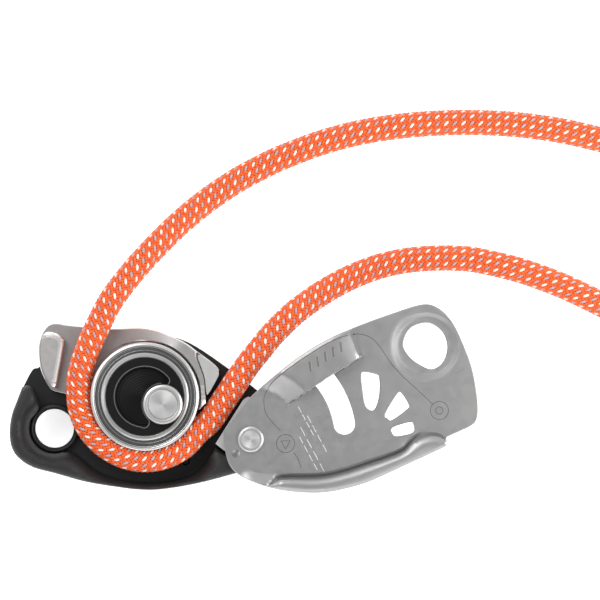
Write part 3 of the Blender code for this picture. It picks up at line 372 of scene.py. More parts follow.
class Painter:
    """A Principled material under construction, in object coordinates given in millimetres."""

    def __init__(self, name):
        self.material = bpy.data.materials.new(name)
        self.material.use_nodes = True
        self.tree = self.material.node_tree
        self.shader = self.tree.nodes["Principled BSDF"]
        coordinates = self.tree.nodes.new("ShaderNodeTexCoord")
        scale = self.node("ShaderNodeVectorMath", {0: coordinates.outputs["Object"], "Scale": 1.0 / MM},
                          operation="SCALE")
        self.place = scale.outputs[0]

    def node(self, kind, inputs, **settings):
        """New node; each input takes a value or another node's output."""
        made = self.tree.nodes.new(kind)
        for key, value in settings.items():
            setattr(made, key, value)
        for key, value in inputs.items():
            self.feed(made.inputs[key], value)
        return made

    def feed(self, socket, value):
        if isinstance(value, bpy.types.NodeSocket):
            self.tree.links.new(value, socket)
        else:
            socket.default_value = value

    def marks(self, kind):
        """Noise with features about 1/scale mm long, or turning rings about the object's own Z."""
        if isinstance(kind, float):
            rings = {"Vector": self.place, "Scale": kind, "Distortion": 0.12, "Detail": 1.0}
            wave = self.node("ShaderNodeTexWave", rings, wave_type="RINGS", rings_direction="Z")
            return wave.outputs["Fac"]
        scale, detail, *stretch = kind
        source = self.place
        if stretch:
            stretched = {0: source, 1: stretch[0]}
            source = self.node("ShaderNodeVectorMath", stretched, operation="MULTIPLY").outputs[0]
        noise = {"Vector": source, "Scale": scale, "Detail": detail}
        return self.node("ShaderNodeTexNoise", noise).outputs["Fac"]

    def tones(self, kind, low, high):
        ramp_node = self.node("ShaderNodeValToRGB", {"Fac": self.marks(kind)})
        for stop, place, colour in zip(ramp_node.color_ramp.elements, MARK_RANGE, (low, high)):
            stop.position = place
            stop.color = (*colour, 1.0)
        self.feed(self.shader.inputs["Base Color"], ramp_node.outputs["Color"])

    def wear(self, kind, low, high):
        ranges = {"Value": self.marks(kind), "From Min": MARK_RANGE[0], "From Max": MARK_RANGE[1],
                  "To Min": low, "To Max": high}
        spread = self.node("ShaderNodeMapRange", ranges)
        self.feed(self.shader.inputs["Roughness"], spread.outputs["Result"])

    def bump(self, kind, depth):
        height = {"Height": self.marks(kind), "Distance": depth * MM, "Strength": 1.0}
        made = self.node("ShaderNodeBump", height)
        self.feed(self.shader.inputs["Normal"], made.outputs["Normal"])

    def brush_round(self):
        """Brushing in circles, so that the light fans out from the centre."""
        tangent = self.node("ShaderNodeTangent", {}, direction_type="RADIAL", axis="Z")
        self.feed(self.shader.inputs["Tangent"], tangent.outputs["Tangent"])


made_looks = {}


def look(name):
    """The material of that name in LOOKS, made when first asked for."""
    if name in made_looks:
        return made_looks[name]
    facts = dict(LOOKS[name])
    painter = Painter(name)
    inputs = painter.shader.inputs
    inputs["Base Color"].default_value = (*facts.pop("colour"), 1.0)
    inputs["Metallic"].default_value = facts.pop("metallic", 0.0)
    inputs["Roughness"].default_value = facts.pop("roughness", 0.5)
    for kind, paint in (("tones", painter.tones), ("wear", painter.wear), ("bump", painter.bump)):
        if kind in facts:
            paint(*facts.pop(kind))
    for key, value in facts.items():
        inputs[key].default_value = value
    if "Anisotropic" in facts:
        painter.brush_round()
    made_looks[name] = painter.material
    return painter.material


def looks(*names):
    return [look(name) for name in names]


# ---- mesh tools
def catmull(before, start, end, after, t):
    """Place at share t of the way from start to end."""
    return 0.5 * (2 * start + (end - before) * t + (2 * before - 5 * start + 4 * end - after) * t * t
                  + (3 * start - before - 3 * end + after) * t ** 3)


def smooth_loop(points, corners=(), steps=4):
    """Closed curve through the points; listed corners stay sharp."""
    count = len(points)
    result = []
    for i in range(count):
        before, start, end, after = (Vector(points[(i + k) % count]) for k in (-1, 0, 1, 2))
        if tuple(points[i]) in corners:
            before = start
        if tuple(points[(i + 1) % count]) in corners:
            after = end
        result += [tuple(catmull(before, start, end, after, k / steps)) for k in range(steps)]
    return result


def smooth_open(points, steps=4):
    """Open run of points, rounded between its ends."""
    loop = smooth_loop([points[0]] + points + [points[-1]], steps=steps)
    return loop[steps:steps * len(points) + 1]


def ring_points(centre, radius, sides=64):
    return arc(centre, radius, 0.0, 360.0 * (sides - 1) / sides, sides - 1)


def stadium(start, end, r_start, r_end, count=24):
    """Outline of two round ends joined by their tangents."""
    direction = math.degrees(math.atan2(end[1] - start[1], end[0] - start[0]))
    lean = math.degrees(math.acos((r_start - r_end) / math.dist(start, end)))
    return (arc(start, r_start, direction + lean, direction + 360 - lean, count)
            + arc(end, r_end, direction - lean, direction + lean, count))


def ramp(value, low, high):
    t = np.clip((np.asarray(value, float) - low) / (high - low), 0.0, 1.0)
    return t * t * (3.0 - 2.0 * t)


def to_line(points, line):
    """Shortest distance from each point to an open run of straight pieces."""
    points = np.asarray(points, float)
    line = np.asarray(line, float)
    best = np.full(len(points), np.inf)
    for start, end in zip(line, line[1:]):
        along = end - start
        t = np.clip((points - start) @ along / max(along @ along, 1e-12), 0.0, 1.0)
        best = np.minimum(best, np.linalg.norm(points - start - t[:, None] * along, axis=1))
    return best


def within(points, loop):
    """Even-odd test for each point."""
    x, y = np.asarray(points, float).T
    hit = np.zeros(len(x), bool)
    for (x0, y0), (x1, y1) in zip(loop, loop[1:] + loop[:1]):
        if y0 != y1:
            crosses = (y0 > y) != (y1 > y)
            hit ^= crosses & (x < x0 + (y - y0) / (y1 - y0) * (x1 - x0))
    return hit


def distances(line):
    """Distance of each point of the line from its start, along it."""
    return np.concatenate([[0.0], np.cumsum(np.linalg.norm(np.diff(line, axis=0), axis=1))])


def even_points(line, count):
    """The line's points spread evenly along it."""
    line = np.array(line)
    run = distances(line)
    places = np.linspace(0.0, run[-1], count)
    return np.column_stack([np.interp(places, run, column) for column in line.T])


def densify(loop, step):
    """Split long edges so that no stretch is longer than the mesh step."""
    result = []
    for start, end in zip(loop, loop[1:] + loop[:1]):
        pieces = max(1, round(math.dist(start, end) / step))
        result += [tuple(Vector(start).lerp(Vector(end), k / pieces)) for k in range(pieces)]
    return result


def ledge(loop, distance, outward):
    """The loop moved sideways into the material."""
    points = np.array(loop)
    along = np.roll(points, -1, axis=0) - np.roll(points, 1, axis=0)
    area = np.sum(points[:, 0] * np.roll(points[:, 1], -1) - np.roll(points[:, 0], -1) * points[:, 1])
    sense = 1 if (area > 0) != outward else -1
    side = np.stack([-along[:, 1], along[:, 0]], axis=1) * sense
    return points + distance * side / np.maximum(np.linalg.norm(side, axis=1), 1e-9)[:, None]


def fill(loops, step, ledges, creases):
    """Even triangles inside the first loop and outside the rest.

    Rows of points follow the loops at the ledge distances, and edges follow the crease lines.
    """
    loops = [densify(loop, step) for loop in loops]
    closed = [loop + loop[:1] for loop in loops]

    def solid(points):
        in_holes = [within(points, hole) for hole in loops[1:]] or [[False]]
        return within(points, loops[0]) & ~np.any(in_holes, axis=0)

    def edge_distance(points):
        return np.min([to_line(points, line) for line in closed], axis=0)

    verts, edges = [], []

    def add_row(row, clearance):
        """Points in the material and clear of its edges, joined where they are neighbours."""
        number = {}
        for i in np.flatnonzero(solid(row) & (edge_distance(row) > clearance)):
            number[i] = len(verts)
            verts.append(tuple(row[i]))
        edges.extend((number[i], number[i + 1]) for i in number if i + 1 in number)

    for index, loop in enumerate(loops):
        first = len(verts)
        verts += loop
        edges += [(first + i, first + (i + 1) % len(loop)) for i in range(len(loop))]
        for distance in ledges:
            add_row(ledge(loop, distance, index > 0), 0.97 * distance)
    for crease in creases:
        add_row(crease, max(0.25 * step, *ledges[:1], 0.3))
    (x0, y0), (x1, y1) = np.min(loops[0], axis=0), np.max(loops[0], axis=0)
    rows = np.arange(y0, y1, step * 0.866)
    grid = np.array([(x + 0.5 * step * (i % 2), y) for i, y in enumerate(rows)
                     for x in np.arange(x0, x1, step)])
    grid = grid[solid(grid)]
    reach = edge_distance(grid)
    free = reach > 0.6 * step
    for distance in ledges:
        free &= np.abs(reach - distance) > 0.4 * step
    for crease in creases:
        free &= to_line(grid, crease) > 0.4 * step
    verts += [tuple(p) for p in grid[free]]
    points, _, faces, *_ = geometry.delaunay_2d_cdt([Vector(v) for v in verts], edges, [], 0, 0.0001)
    points = np.array([tuple(p) for p in points])
    middles = np.array([points[face].mean(axis=0) for face in faces])
    faces = [face for face, keep in zip(faces, solid(middles)) if keep]
    return points, faces, edge_distance(points)


def relief(name, loops, materials, origin, low, high, step, ledges, chamfer=0.0, creases=(), painted_light_faces=None):
    """Solid whose top and bottom follow height functions of the points and their distance to the edge.

    The chamfer takes the second material, and the faces that the last argument picks take the third; in
    this script both are painted highlights.
    """
    points, faces, reach = fill(loops, step, ((chamfer,) if chamfer else ()) + ledges, creases)
    top = high(points, reach) - np.clip(chamfer - reach, 0.0, None)
    count = len(points)
    verts = np.concatenate([np.column_stack([points, top]), np.column_stack([points, low(points, reach)])])
    sides = {(a, b) for face in faces for a, b in zip(face, face[1:] + face[:1])}
    walls = [(b, a, a + count, b + count) for a, b in sides if (b, a) not in sides]
    under = [tuple(i + count for i in reversed(face)) for face in faces]
    kinds = np.zeros(len(faces), int)
    if chamfer and len(materials) > 1:
        kinds[[np.all(reach[list(face)] < chamfer + 0.02) for face in faces]] = 1
    if painted_light_faces:
        kinds[painted_light_faces(np.array([points[face].mean(axis=0) for face in faces]))] = 2

    def drop_loose(bm):
        bmesh.ops.delete(bm, geom=[v for v in bm.verts if not v.link_faces], context="VERTS")

    faces = [tuple(face) for face in faces] + under + walls
    mesh = new_mesh(name, verts - np.array([*origin, 0.0]), faces, drop_loose)
    mesh.polygons.foreach_set("material_index", list(kinds) + [0] * (len(under) + len(walls)))
    return dress(place_object(name, mesh, (*origin, 0.0)), materials, angle=28)


def flat(level):
    """Height function of a level face."""
    return lambda points, reach: np.full(len(points), level)


def mend(mesh, clean=None):
    """Turn the faces outward, after the clean-up step if there is one."""
    bm = bmesh.new()
    bm.from_mesh(mesh)
    if clean:
        clean(bm)
    bmesh.ops.recalc_face_normals(bm, faces=bm.faces)
    bm.to_mesh(mesh)
    bm.free()
    return mesh


def new_mesh(name, verts, faces, clean=None):
    """Mesh from corner points in millimetres."""
    mesh = bpy.data.meshes.new(name)
    mesh.from_pydata((np.array(verts) * MM).tolist(), [], faces)
    return mend(mesh, clean)


def place_object(name, mesh, origin):
    obj = bpy.data.objects.new(name, mesh)
    obj.location = Vector(origin) * MM
    bpy.context.scene.collection.objects.link(obj)
    return obj


def dress(obj, materials, angle=30):
    if obj.data.materials:
        obj.data.materials.clear()
    for material in materials:
        obj.data.materials.append(material)
    obj.data.shade_smooth()
    obj.data.set_sharp_from_angle(angle=math.radians(angle))
    return obj


def settle(obj):
    """Turn the object's modifiers into its mesh."""
    bpy.context.view_layer.update()
    obj.data = bpy.data.meshes.new_from_object(obj.evaluated_get(bpy.context.evaluated_depsgraph_get()))
    obj.modifiers.clear()
    return obj


def soften(obj, width, segments=3, angle=35):
    """Rounded edges; they take the second material if there is one, which in this script is a painted
    highlight.
    """
    edge = obj.modifiers.new("edges", "BEVEL")
    edge.width = width * MM
    edge.segments = segments
    edge.limit_method = "ANGLE"
    edge.angle_limit = math.radians(angle)
    edge.harden_normals = True
    if len(obj.data.materials) > 1:
        edge.material = 1
    return settle(obj)


def combine(obj, other, operation="DIFFERENCE"):
    step = obj.modifiers.new("step", "BOOLEAN")
    step.operation = operation
    step.solver = "EXACT"
    step.object = other
    settle(obj)
    bpy.data.objects.remove(other, do_unlink=True)
    return obj


def prism(name, loops, levels, materials, origin=(0.0, 0.0), round_over=0.0, segments=3):
    """Flat piece between two levels, with its edges rounded."""
    data = bpy.data.curves.new(name, "CURVE")
    data.dimensions = "2D"
    data.fill_mode = "BOTH"
    data.extrude = (levels[1] - levels[0]) / 2 * MM
    for loop in loops:
        spline = data.splines.new("POLY")
        spline.points.add(len(loop) - 1)
        for point, (x, y) in zip(spline.points, loop):
            point.co = ((x - origin[0]) * MM, (y - origin[1]) * MM, 0.0, 1.0)
        spline.use_cyclic_u = True
    holder = place_object(name + "_outline", data, (0, 0, 0))
    bpy.context.view_layer.update()
    mesh = bpy.data.meshes.new_from_object(holder.evaluated_get(bpy.context.evaluated_depsgraph_get()))
    bpy.data.objects.remove(holder, do_unlink=True)

    def join_flats(bm):
        bmesh.ops.remove_doubles(bm, verts=bm.verts, dist=0.000001)
        bmesh.ops.dissolve_limit(bm, angle_limit=math.radians(0.5), verts=bm.verts, edges=bm.edges)

    middle = (*origin, (levels[0] + levels[1]) / 2)
    obj = dress(place_object(name, mend(mesh, join_flats), middle), materials)
    return soften(obj, round_over, segments) if round_over else obj


def turned(name, profile, centre, materials, sides=96, face_looks=None):
    """Piece turned about the vertical through centre.

    The profile is (radius, z) down the outside, and face_looks gives stretches of it another material.
    """
    angles = np.linspace(0.0, 2 * math.pi, sides, endpoint=False)
    verts, rings = [], []
    for r, z in profile:
        ring_angles = angles if r else [0.0]
        rings.append([len(verts) + i for i in range(len(ring_angles))])
        verts += [(r * math.cos(a), r * math.sin(a), z) for a in ring_angles]
    closed = profile[0][0] > 0.0
    faces, kinds = [], []
    for index, (upper, lower) in enumerate(zip(rings, rings[1:] + rings[:closed])):
        for i in range(sides):
            j = (i + 1) % sides
            if len(upper) == 1:
                faces.append((upper[0], lower[i], lower[j]))
            elif len(lower) == 1:
                faces.append((upper[i], lower[0], upper[j]))
            else:
                faces.append((upper[i], lower[i], lower[j], upper[j]))
            kinds.append((face_looks or {}).get(index, 0))
    obj = dress(place_object(name, new_mesh(name, verts, faces), (*centre, 0.0)), materials)
    obj.data.polygons.foreach_set("material_index", kinds)
    return obj


def fit(obj, body, slot, *nodes):
    """Put the piece on its body, in place of the CAD nodes it stands for."""
    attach(obj, body)
    if nodes:
        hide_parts(*nodes)
    return obj


# ---- rope
YARNS = 20                      # strands each way round
LEAD = 32.6                     # length of one full turn of a strand
FLOAT_HALF = (1.16, 0.52)       # half length and half width of a strand where it shows
FLOAT_RISE = 0.52
SHEATH_R = 4.38
CORE_R = 4.40
ROUTE_STEP = 0.8
CORE_STEP = 1.6                 # between the core's rings of points
CORE_SIDES = 28
SLEEVE_SIDES = 40
CORE_IN_SLEEVE = 0.6            # how far the core stops before the tip
FLOAT_GRID = (5, 4)             # faces along and across a strand where it shows
ORANGE, WHITE, LILAC = 1, 2, 3  # looks of the rope after its core
STRAND_LOOKS = (WHITE, ORANGE, LILAC, ORANGE)


def smooth_route(points, step):
    """Even points along a Catmull-Rom curve through the route."""
    padded = [np.array(p, float) for p in [points[0]] + points + [points[-1]]]
    shares = np.linspace(0.0, 1.0, 24, endpoint=False)
    fine = [catmull(*four, t) for four in zip(padded, padded[1:], padded[2:], padded[3:]) for t in shares]
    fine = np.array(fine + [padded[-1]])
    return even_points(fine, round(distances(fine)[-1] / step) + 1)


def channel_route():
    wrap_r = GROOVE_ROOT_R + ROPE_R + 0.4
    wrap = [(*polar(WHEEL, wrap_r + 1.2 * float(ramp(-angle, 120.0, 190.0)), angle), ROPE_Z)
            for angle in range(-185, -34, 15)]
    return CHANNEL_START + wrap + CHANNEL_END


class Centreline:
    """The whole rope's middle, from the climber's end to the brake end, with directions along it."""

    def __init__(self, points):
        self.points = smooth_route(points, ROUTE_STEP)
        self.run = distances(self.points)
        along = np.gradient(self.points, axis=0)
        self.along = along / np.linalg.norm(along, axis=1)[:, None]
        up = np.array([0.0, 0.0, 1.0]) - self.along * self.along[:, 2:]
        self.up = up / np.linalg.norm(up, axis=1)[:, None]
        self.left = np.cross(self.up, self.along)

    def near(self, point):
        """Distance along the rope of the place nearest to a point."""
        return self.run[np.argmin(np.linalg.norm(self.points - np.array(point), axis=1))]

    def stretch(self, start, end):
        return self.points[(self.run >= start - 0.01) & (self.run <= end + 0.01)]

    def at(self, z, theta, radius):
        """Points in space from distance along, angle round from the top, and radius."""
        mix = [np.stack([np.interp(z, self.run, table[:, k]) for k in range(3)], axis=-1)
               for table in (self.points, self.up, self.left)]
        ring = np.cos(theta)[..., None] * mix[1] + np.sin(theta)[..., None] * mix[2]
        return mix[0] + radius[..., None] * ring


def float_places(length):
    """Where each strand of a two-over-two braid shows: distance, angle, turning sense and look."""
    found = []
    reach = int(length / LEAD * 2 * YARNS) + YARNS
    for i in range(YARNS):
        for j in range(i - 2, reach + i):
            if (i + j) % 4 == 0:
                z = LEAD * (j + 0.5 - i) / (2 * YARNS)
                found.append((z, 2 * math.pi * (z / LEAD + i / YARNS), 1, STRAND_LOOKS[i % 4]))
            if (i + j) % 4 == 2:
                z = LEAD * (j - i - 0.5) / (2 * YARNS)
                found.append((z, 2 * math.pi * (j / YARNS - z / LEAD), -1, ORANGE))
    return found


def tube_faces(rows, sides):
    """Faces between rings of points."""
    ring = [(k, (k + 1) % sides, (k + 1) % sides + sides, k + sides) for k in range(sides)]
    return [tuple(row * sides + corner for corner in face) for row in range(rows - 1) for face in ring]


def braid(name, line, start, end, floats, materials, core=None):
    """Core with the strands that show laid on it, between two places; the core may run further."""
    first, last = core or (start, end)
    places = np.append(np.arange(first, last - CORE_STEP / 4, CORE_STEP), last)
    angles = np.linspace(0.0, 2 * math.pi, CORE_SIDES, endpoint=False)
    z, theta = np.meshgrid(places, angles, indexing="ij")
    core = line.at(z, theta, np.full(z.shape, CORE_R)).reshape(-1, 3)
    faces = tube_faces(len(places), CORE_SIDES)
    faces.append(tuple(reversed(range(CORE_SIDES))))
    faces.append(tuple(range(len(core) - CORE_SIDES, len(core))))
    kinds = [0] * len(faces)

    columns, rows = FLOAT_GRID
    u, v = np.meshgrid(np.linspace(-1, 1, columns + 1), np.linspace(-1, 1, rows + 1), indexing="ij")
    swell = np.sqrt(np.clip(1.0 - v ** 2, 0.0, None)) * np.cos(0.5 * math.pi * u) ** 0.6
    pinch = 1.0 - 0.3 * u ** 2
    lean = math.atan2(2 * math.pi * SHEATH_R, LEAD)
    chosen = [f for f in floats if start < f[0] < end]
    z0, theta0, sense, kind = (np.array(column)[:, None, None] for column in zip(*chosen))
    s, w = u * FLOAT_HALF[0], v * FLOAT_HALF[1] * pinch
    z = z0 + s * math.cos(lean) - sense * w * math.sin(lean)
    theta = theta0 + (sense * s * math.sin(lean) + w * math.cos(lean)) / SHEATH_R
    z = np.clip(z, line.run[0], line.run[-1])
    patch = line.at(z, theta, np.broadcast_to(SHEATH_R + FLOAT_RISE * swell, z.shape)).reshape(-1, 3)
    per = (columns + 1) * (rows + 1)
    number = np.arange(per).reshape(columns + 1, rows + 1)
    quads = [tuple(map(int, (number[a, b], number[a, b + 1], number[a + 1, b + 1], number[a + 1, b])))
             for a in range(columns) for b in range(rows)]
    border = [int(i) for i in (*number[0], *number[1:, -1], *number[-1, -2::-1], *number[-2:0:-1, 0])]
    for index, which in enumerate(kind.ravel()):
        first = len(core) + index * per
        faces += [tuple(first + q for q in quad) for quad in quads]
        faces.append(tuple(first + q for q in reversed(border)))
        kinds += [int(which)] * (len(quads) + 1)
    mesh = bpy.data.meshes.new(name)
    mesh.from_pydata((np.concatenate([core, patch]) * MM).tolist(), [], faces)
    mesh.polygons.foreach_set("material_index", kinds)
    obj = place_object(name, mesh, (0, 0, 0))
    for material in materials:
        mesh.materials.append(material)
    mesh.shade_smooth()
    mesh.set_sharp_from_angle(angle=math.radians(75))
    return obj


def end_sleeve(name, line, start, end):
    """Shrunk tube over the rope's end, a little waisted, with a rounded tip."""
    sign = 1 if end > start else -1
    profile = [(0.0, 3.9), (0.0, 4.5), (0.15, 4.72), (0.6, 4.82), (2.2, 4.74), (4.6, 4.78), (7.4, 4.84),
               (8.2, 4.7), (8.7, 4.2), (8.95, 3.2), (SLEEVE_LENGTH, 0.0)]
    angles = np.linspace(0.0, 2 * math.pi, SLEEVE_SIDES, endpoint=False)
    along, radius = np.array(profile).T
    grid_z, theta = np.meshgrid(start + sign * along, angles, indexing="ij")
    grid_r = np.broadcast_to(radius[:, None], grid_z.shape)
    verts = line.at(np.clip(grid_z, line.run[0], line.run[-1]), theta, grid_r).reshape(-1, 3)
    faces = tube_faces(len(profile), SLEEVE_SIDES) + [tuple(range(SLEEVE_SIDES))]

    def weld(bm):
        bmesh.ops.remove_doubles(bm, verts=bm.verts, dist=0.00001)

    return dress(place_object(name, new_mesh(name, verts, faces, weld), (0, 0, 0)), looks("heat_shrink"))


def add_rope():
    line = Centreline(CLIMBER_ROUTE[:0:-1] + channel_route() + BRAKE_ROUTE[1:])
    first, second = line.near(CHANNEL_START[0]), line.near(CHANNEL_END[-1])
    total = line.run[-1]
    # The core's dark red shows between the strands: painted shade in the gaps.
    rope_looks = looks("rope_core", "yarn_orange", "yarn_white", "yarn_lilac")
    floats = float_places(total)
    held = braid("rope_held", line, first + GAP, second - GAP, floats, rope_looks)
    fit(held, "body", "rope_sheath", "rope_in_channel")
    for side, tip, inner, exit_point in (("climber", 0.0, first, CHANNEL_START[0]),
                                         ("brake", total, second, CHANNEL_END[-1])):
        sleeve_start = tip + math.copysign(SLEEVE_LENGTH, inner - tip)
        core = sorted((tip + math.copysign(CORE_IN_SLEEVE, inner - tip), inner))
        strand = braid("rope_%s" % side, line, *sorted((sleeve_start, inner)), floats, rope_looks, core)
        sleeve = end_sleeve("sleeve_%s" % side, line, sleeve_start, tip)
        fit(strand, "body", "rope_sheath", "rope_%s_strand" % side)
        fit(sleeve, "body", "end_sleeve", "%s_end_sleeve" % side)
        path = line.stretch(*sorted((tip, inner)))
        if side == "climber":
            path = path[::-1]
        tuple(c * MM for c in exit_point)
        [tuple(p * MM) for p in path]


# ---- side plate
def bridge_side(points):
    """Distance above the bridge's lower edge, positive on the bridge's side."""
    (ax, ay), (bx, by) = BRIDGE_EDGE
    along = np.array([bx - ax, by - ay]) / math.dist(*BRIDGE_EDGE)
    return along[0] * (points[:, 1] - ay) - along[1] * (points[:, 0] - ax)


def bridge_end(points):
    """Distance past the bridge's straight far end."""
    return (points - np.array(BRIDGE_EDGE[1])) @ np.array(BRIDGE_END_NORMAL)


def bridge_height(points):
    """Ramp up, level top and ramp down to a straight end, with tight bends."""
    radius = np.linalg.norm(points - np.array(PIVOT), axis=1)
    foot, crest = BRIDGE_RAMP
    rise = np.clip((radius - foot) / (crest - foot), 0.0, 1.0)
    fall = np.clip(bridge_end(points) / BRIDGE_FALL + 1.0, 0.0, 1.0)
    bend = ramp(bridge_end(points), -BRIDGE_BEND, 0.0)
    eased = BRIDGE_EASE * ramp(rise, 0, 1) + (1.0 - BRIDGE_EASE) * rise
    return BRIDGE_RISE * eased * (1.0 - BRIDGE_SAG * fall ** 2) * (1.0 - bend)


def rim_height(points):
    """Rolled rim: a bead that swells out of the sheet and turns down again at the outer edge."""
    inner, outer = smooth_open(RIM_INNER), smooth_open(RIM_OUTER)
    region = inner + [(80.0, -17.0), (80.0, -40.0), (6.0, -40.0)]
    to_inner, to_outer = to_line(points, inner), to_line(points, outer)
    share = to_inner / (to_inner + to_outer + 0.001)
    bead = np.sqrt(np.clip(1.0 - (share / RIM_CREST - 1.0) ** 2, 0.0, 1.0)) * ramp(share, 0.0, 0.2)
    started = ramp(points[:, 0], *RIM_START)
    depth, width = RIM_FOLD
    fold = depth * np.exp(-(to_inner / width) ** 2) * started * (1.0 - ramp(points[:, 0], *RIM_FOLD_END))
    return np.where(within(points, region), RIM_RISE * bead * started, 0.0) - fold


def gusset_height(points):
    """Folded facet that leads from the sheet into the rim's left end."""
    edge = np.array(GUSSET)
    below = np.interp(points[:, 0], edge[:, 0], edge[:, 1]) - points[:, 1]
    x0, x1, x2, x3 = GUSSET_X
    reach = ramp(points[:, 0], x0, x1) * (1.0 - ramp(points[:, 0], x2, x3))
    return GUSSET_SLOPE * np.clip(below, 0.0, GUSSET_W) * reach


def form_height(points):
    """How far the formed sheet stands above the flat."""
    height = np.where(bridge_side(points) > 0.0, bridge_height(points), 0.0)
    from_hole = np.linalg.norm(points - np.array(OPEN_HOLE), axis=1)
    height -= DISH_DEPTH * (1.0 - ramp(from_hole, *DISH_R))
    return height + rim_height(points) + gusset_height(points)


def slot_outline():
    """Latch slot, an arc about the pivot, ending in the slit below the bridge."""
    (ax, ay), (bx, by) = BRIDGE_EDGE
    run = Vector((bx - ax, by - ay)).normalized()
    side = Vector((run.y, -run.x)) * SLIT_W
    inner, outer = AXLE_FROM_PIVOT - SLOT_HALF, AXLE_FROM_PIVOT + SLOT_HALF
    end = AXLE_ANGLE - SWING

    def meet(radius):
        hit = geometry.intersect_line_sphere_2d(Vector((ax, ay)) + side, Vector((bx, by)) + side,
                                                Vector(PIVOT), radius, False)
        top = max((p for p in hit if p), key=lambda p: p.y)
        return math.degrees(math.atan2(top.y - PIVOT[1], top.x - PIVOT[0]))

    tip = polar(PIVOT, AXLE_FROM_PIVOT, end)
    return ([(ax, ay), tuple(Vector((ax, ay)) + side)] + arc(PIVOT, inner, meet(inner), end + 1.5, 18)
            + arc(tip, SLOT_HALF, end + 180.0, end + 360.0, 24)[1:-1]
            + arc(PIVOT, outer, end + 1.5, meet(outer), 20) + [tuple(Vector((bx, by)) + side), (bx, by)])


def on_plate(points):
    """Heights of the side plate's top at the points."""
    return SIDE_PLATE_Z + SIDE_PLATE_T + form_height(np.array(points, float))


def ribbon(points, width, rise):
    """Narrow raised line that follows the plate's top: corner points and faces, in millimetres."""
    points = np.array(points, float)
    along = np.gradient(points, axis=0)
    side = np.stack([-along[:, 1], along[:, 0]], axis=1)
    side *= 0.5 * width / np.linalg.norm(side, axis=1)[:, None]
    left, right = points + side, points - side
    verts = np.concatenate([np.column_stack([p, on_plate(p) + h]) for p, h in
                            ((left, -0.15), (left * 0.7 + right * 0.3, rise),
                             (right * 0.7 + left * 0.3, rise), (right, -0.15))])
    n = len(points)
    faces = [(row * n + i, row * n + i + 1, (row + 1) % 4 * n + i + 1, (row + 1) % 4 * n + i)
             for row in range(4) for i in range(n - 1)]
    faces += [(3 * n, 2 * n, n, 0), (n - 1, 2 * n - 1, 3 * n - 1, 4 * n - 1)]
    return verts, faces


def add_lines(name, runs, material, width, rise):
    """One piece on the side plate from several ribbons."""
    verts, faces = [], []
    for run in runs:
        more, quads = ribbon(run, width, rise)
        first = sum(len(v) for v in verts)
        verts.append(more)
        faces += [tuple(first + q for q in quad) for quad in quads]
    mesh = new_mesh(name, np.concatenate(verts) - np.array([*PIVOT, 0]), faces)
    fit(dress(place_object(name, mesh, (*PIVOT, 0)), looks(material)), "side_plate", "grey_anodised")


def straight(start, end, parts=6):
    """Evenly spaced points from start to end."""
    return [tuple(Vector(start).lerp(Vector(end), t / parts)) for t in range(parts + 1)]


def add_rope_line():
    """Generic mark: the rope's line between a double ring and a ring with a triangle."""
    runs = [smooth_open(ROPE_LINE, 8), smooth_open(TAIL_LINE, 6)]
    for centre, radius in ((CLIMBER_MARK, MARK_R), (CLIMBER_MARK, 0.4 * MARK_R), (HAND_MARK, MARK_R)):
        runs.append(arc(centre, radius, 0.0, 360.0, 40))
    head = [polar(HAND_MARK, ARROW_R, a) for a in (150.0, 30.0, 270.0)]
    runs += [straight(a, b) for a, b in zip(head, head[1:] + head[:1])]
    end = ROPE_LINE[-1]
    reach = math.degrees(math.atan2(end[1] - CLIMBER_MARK[1], end[0] - CLIMBER_MARK[0]))
    runs.append(straight(end, polar(CLIMBER_MARK, MARK_R, reach)))
    add_lines("plate_rope_line", runs, "marking", 0.5, 0.02)


def add_strokes():
    """Generic mark: rows of dashes."""
    dashes = []
    for start, length in STROKES:
        for k in range(DASHES):
            a = polar(start, k * length * DASH_STEP, STROKE_ANGLE)
            dashes.append(straight(a, polar(a, length * DASH_SHARE, STROKE_ANGLE)))
    add_lines("plate_strokes", dashes, "pale_marking", 0.5, 0.012)


def add_dimple():
    profile = [(0.0, 0.34), (0.6, 0.3), (1.1, 0.18), (1.45, 0.04), (1.7, -0.06), (1.7, -0.6),
               (0.0, -0.6)]
    # Darker grey on the dimple: painted shade.
    dimple = turned("plate_dimple", profile, DIMPLE, looks("stamp_painted_shade"), 48)
    dimple.location.z = (SIDE_PLATE_Z + SIDE_PLATE_T) * MM
    fit(dimple, "side_plate", "grey_anodised")


def add_bridge_bars():
    """Generic mark: slanted bars across the bridge."""
    along = Vector(PANEL_ALONG)
    half = Vector((-along.y, along.x)) * BAR_HALF[0] + along * BAR_HALF[1]
    spots = [Vector(PANEL_MIDDLE) + along * BAR_SPACING * k for k in range(-2, 3)]
    bars = [straight(spot + half, spot - half) for spot in spots]
    # Raised bars in a darker grey: painted shade on them.
    add_lines("bridge_ridges", bars, "stamp_painted_shade", 1.2, 0.12)


def plate_creases():
    """Lines where the side plate bends: along the rim, across the bridge and round the dish."""
    inner, edge = even_points(smooth_open(RIM_INNER), 90), even_points(smooth_open(RIM_OUTER), 90)
    creases = [inner + (edge - inner) * share for share in RIM_ROWS]
    creases.append(even_points(GUSSET, 14))
    foot, crest = BRIDGE_RAMP
    rows = [np.array(arc(PIVOT, radius, 20.0, 75.0, int(radius)))
            for radius in (foot, foot + 1.2, (foot + crest) / 2, crest - 0.8, crest)]
    across = np.array([-BRIDGE_END_NORMAL[1], BRIDGE_END_NORMAL[0]])
    for back in (0.0, 0.35, 0.8, 1.25, BRIDGE_BEND, 3.0, 5.5, BRIDGE_FALL):
        start = np.array(BRIDGE_EDGE[1]) - back * np.array(BRIDGE_END_NORMAL)
        rows.append(start + np.outer(np.linspace(0.0, 22.0, 20), across))
    creases += [row[bridge_side(row) > 0.5] for row in rows]
    creases += [np.array(arc(OPEN_HOLE, radius, 0.0, 360.0, 72))
                for radius in np.linspace(DISH_R[0] - 0.3, DISH_R[1] + 0.3, 5)]
    return creases


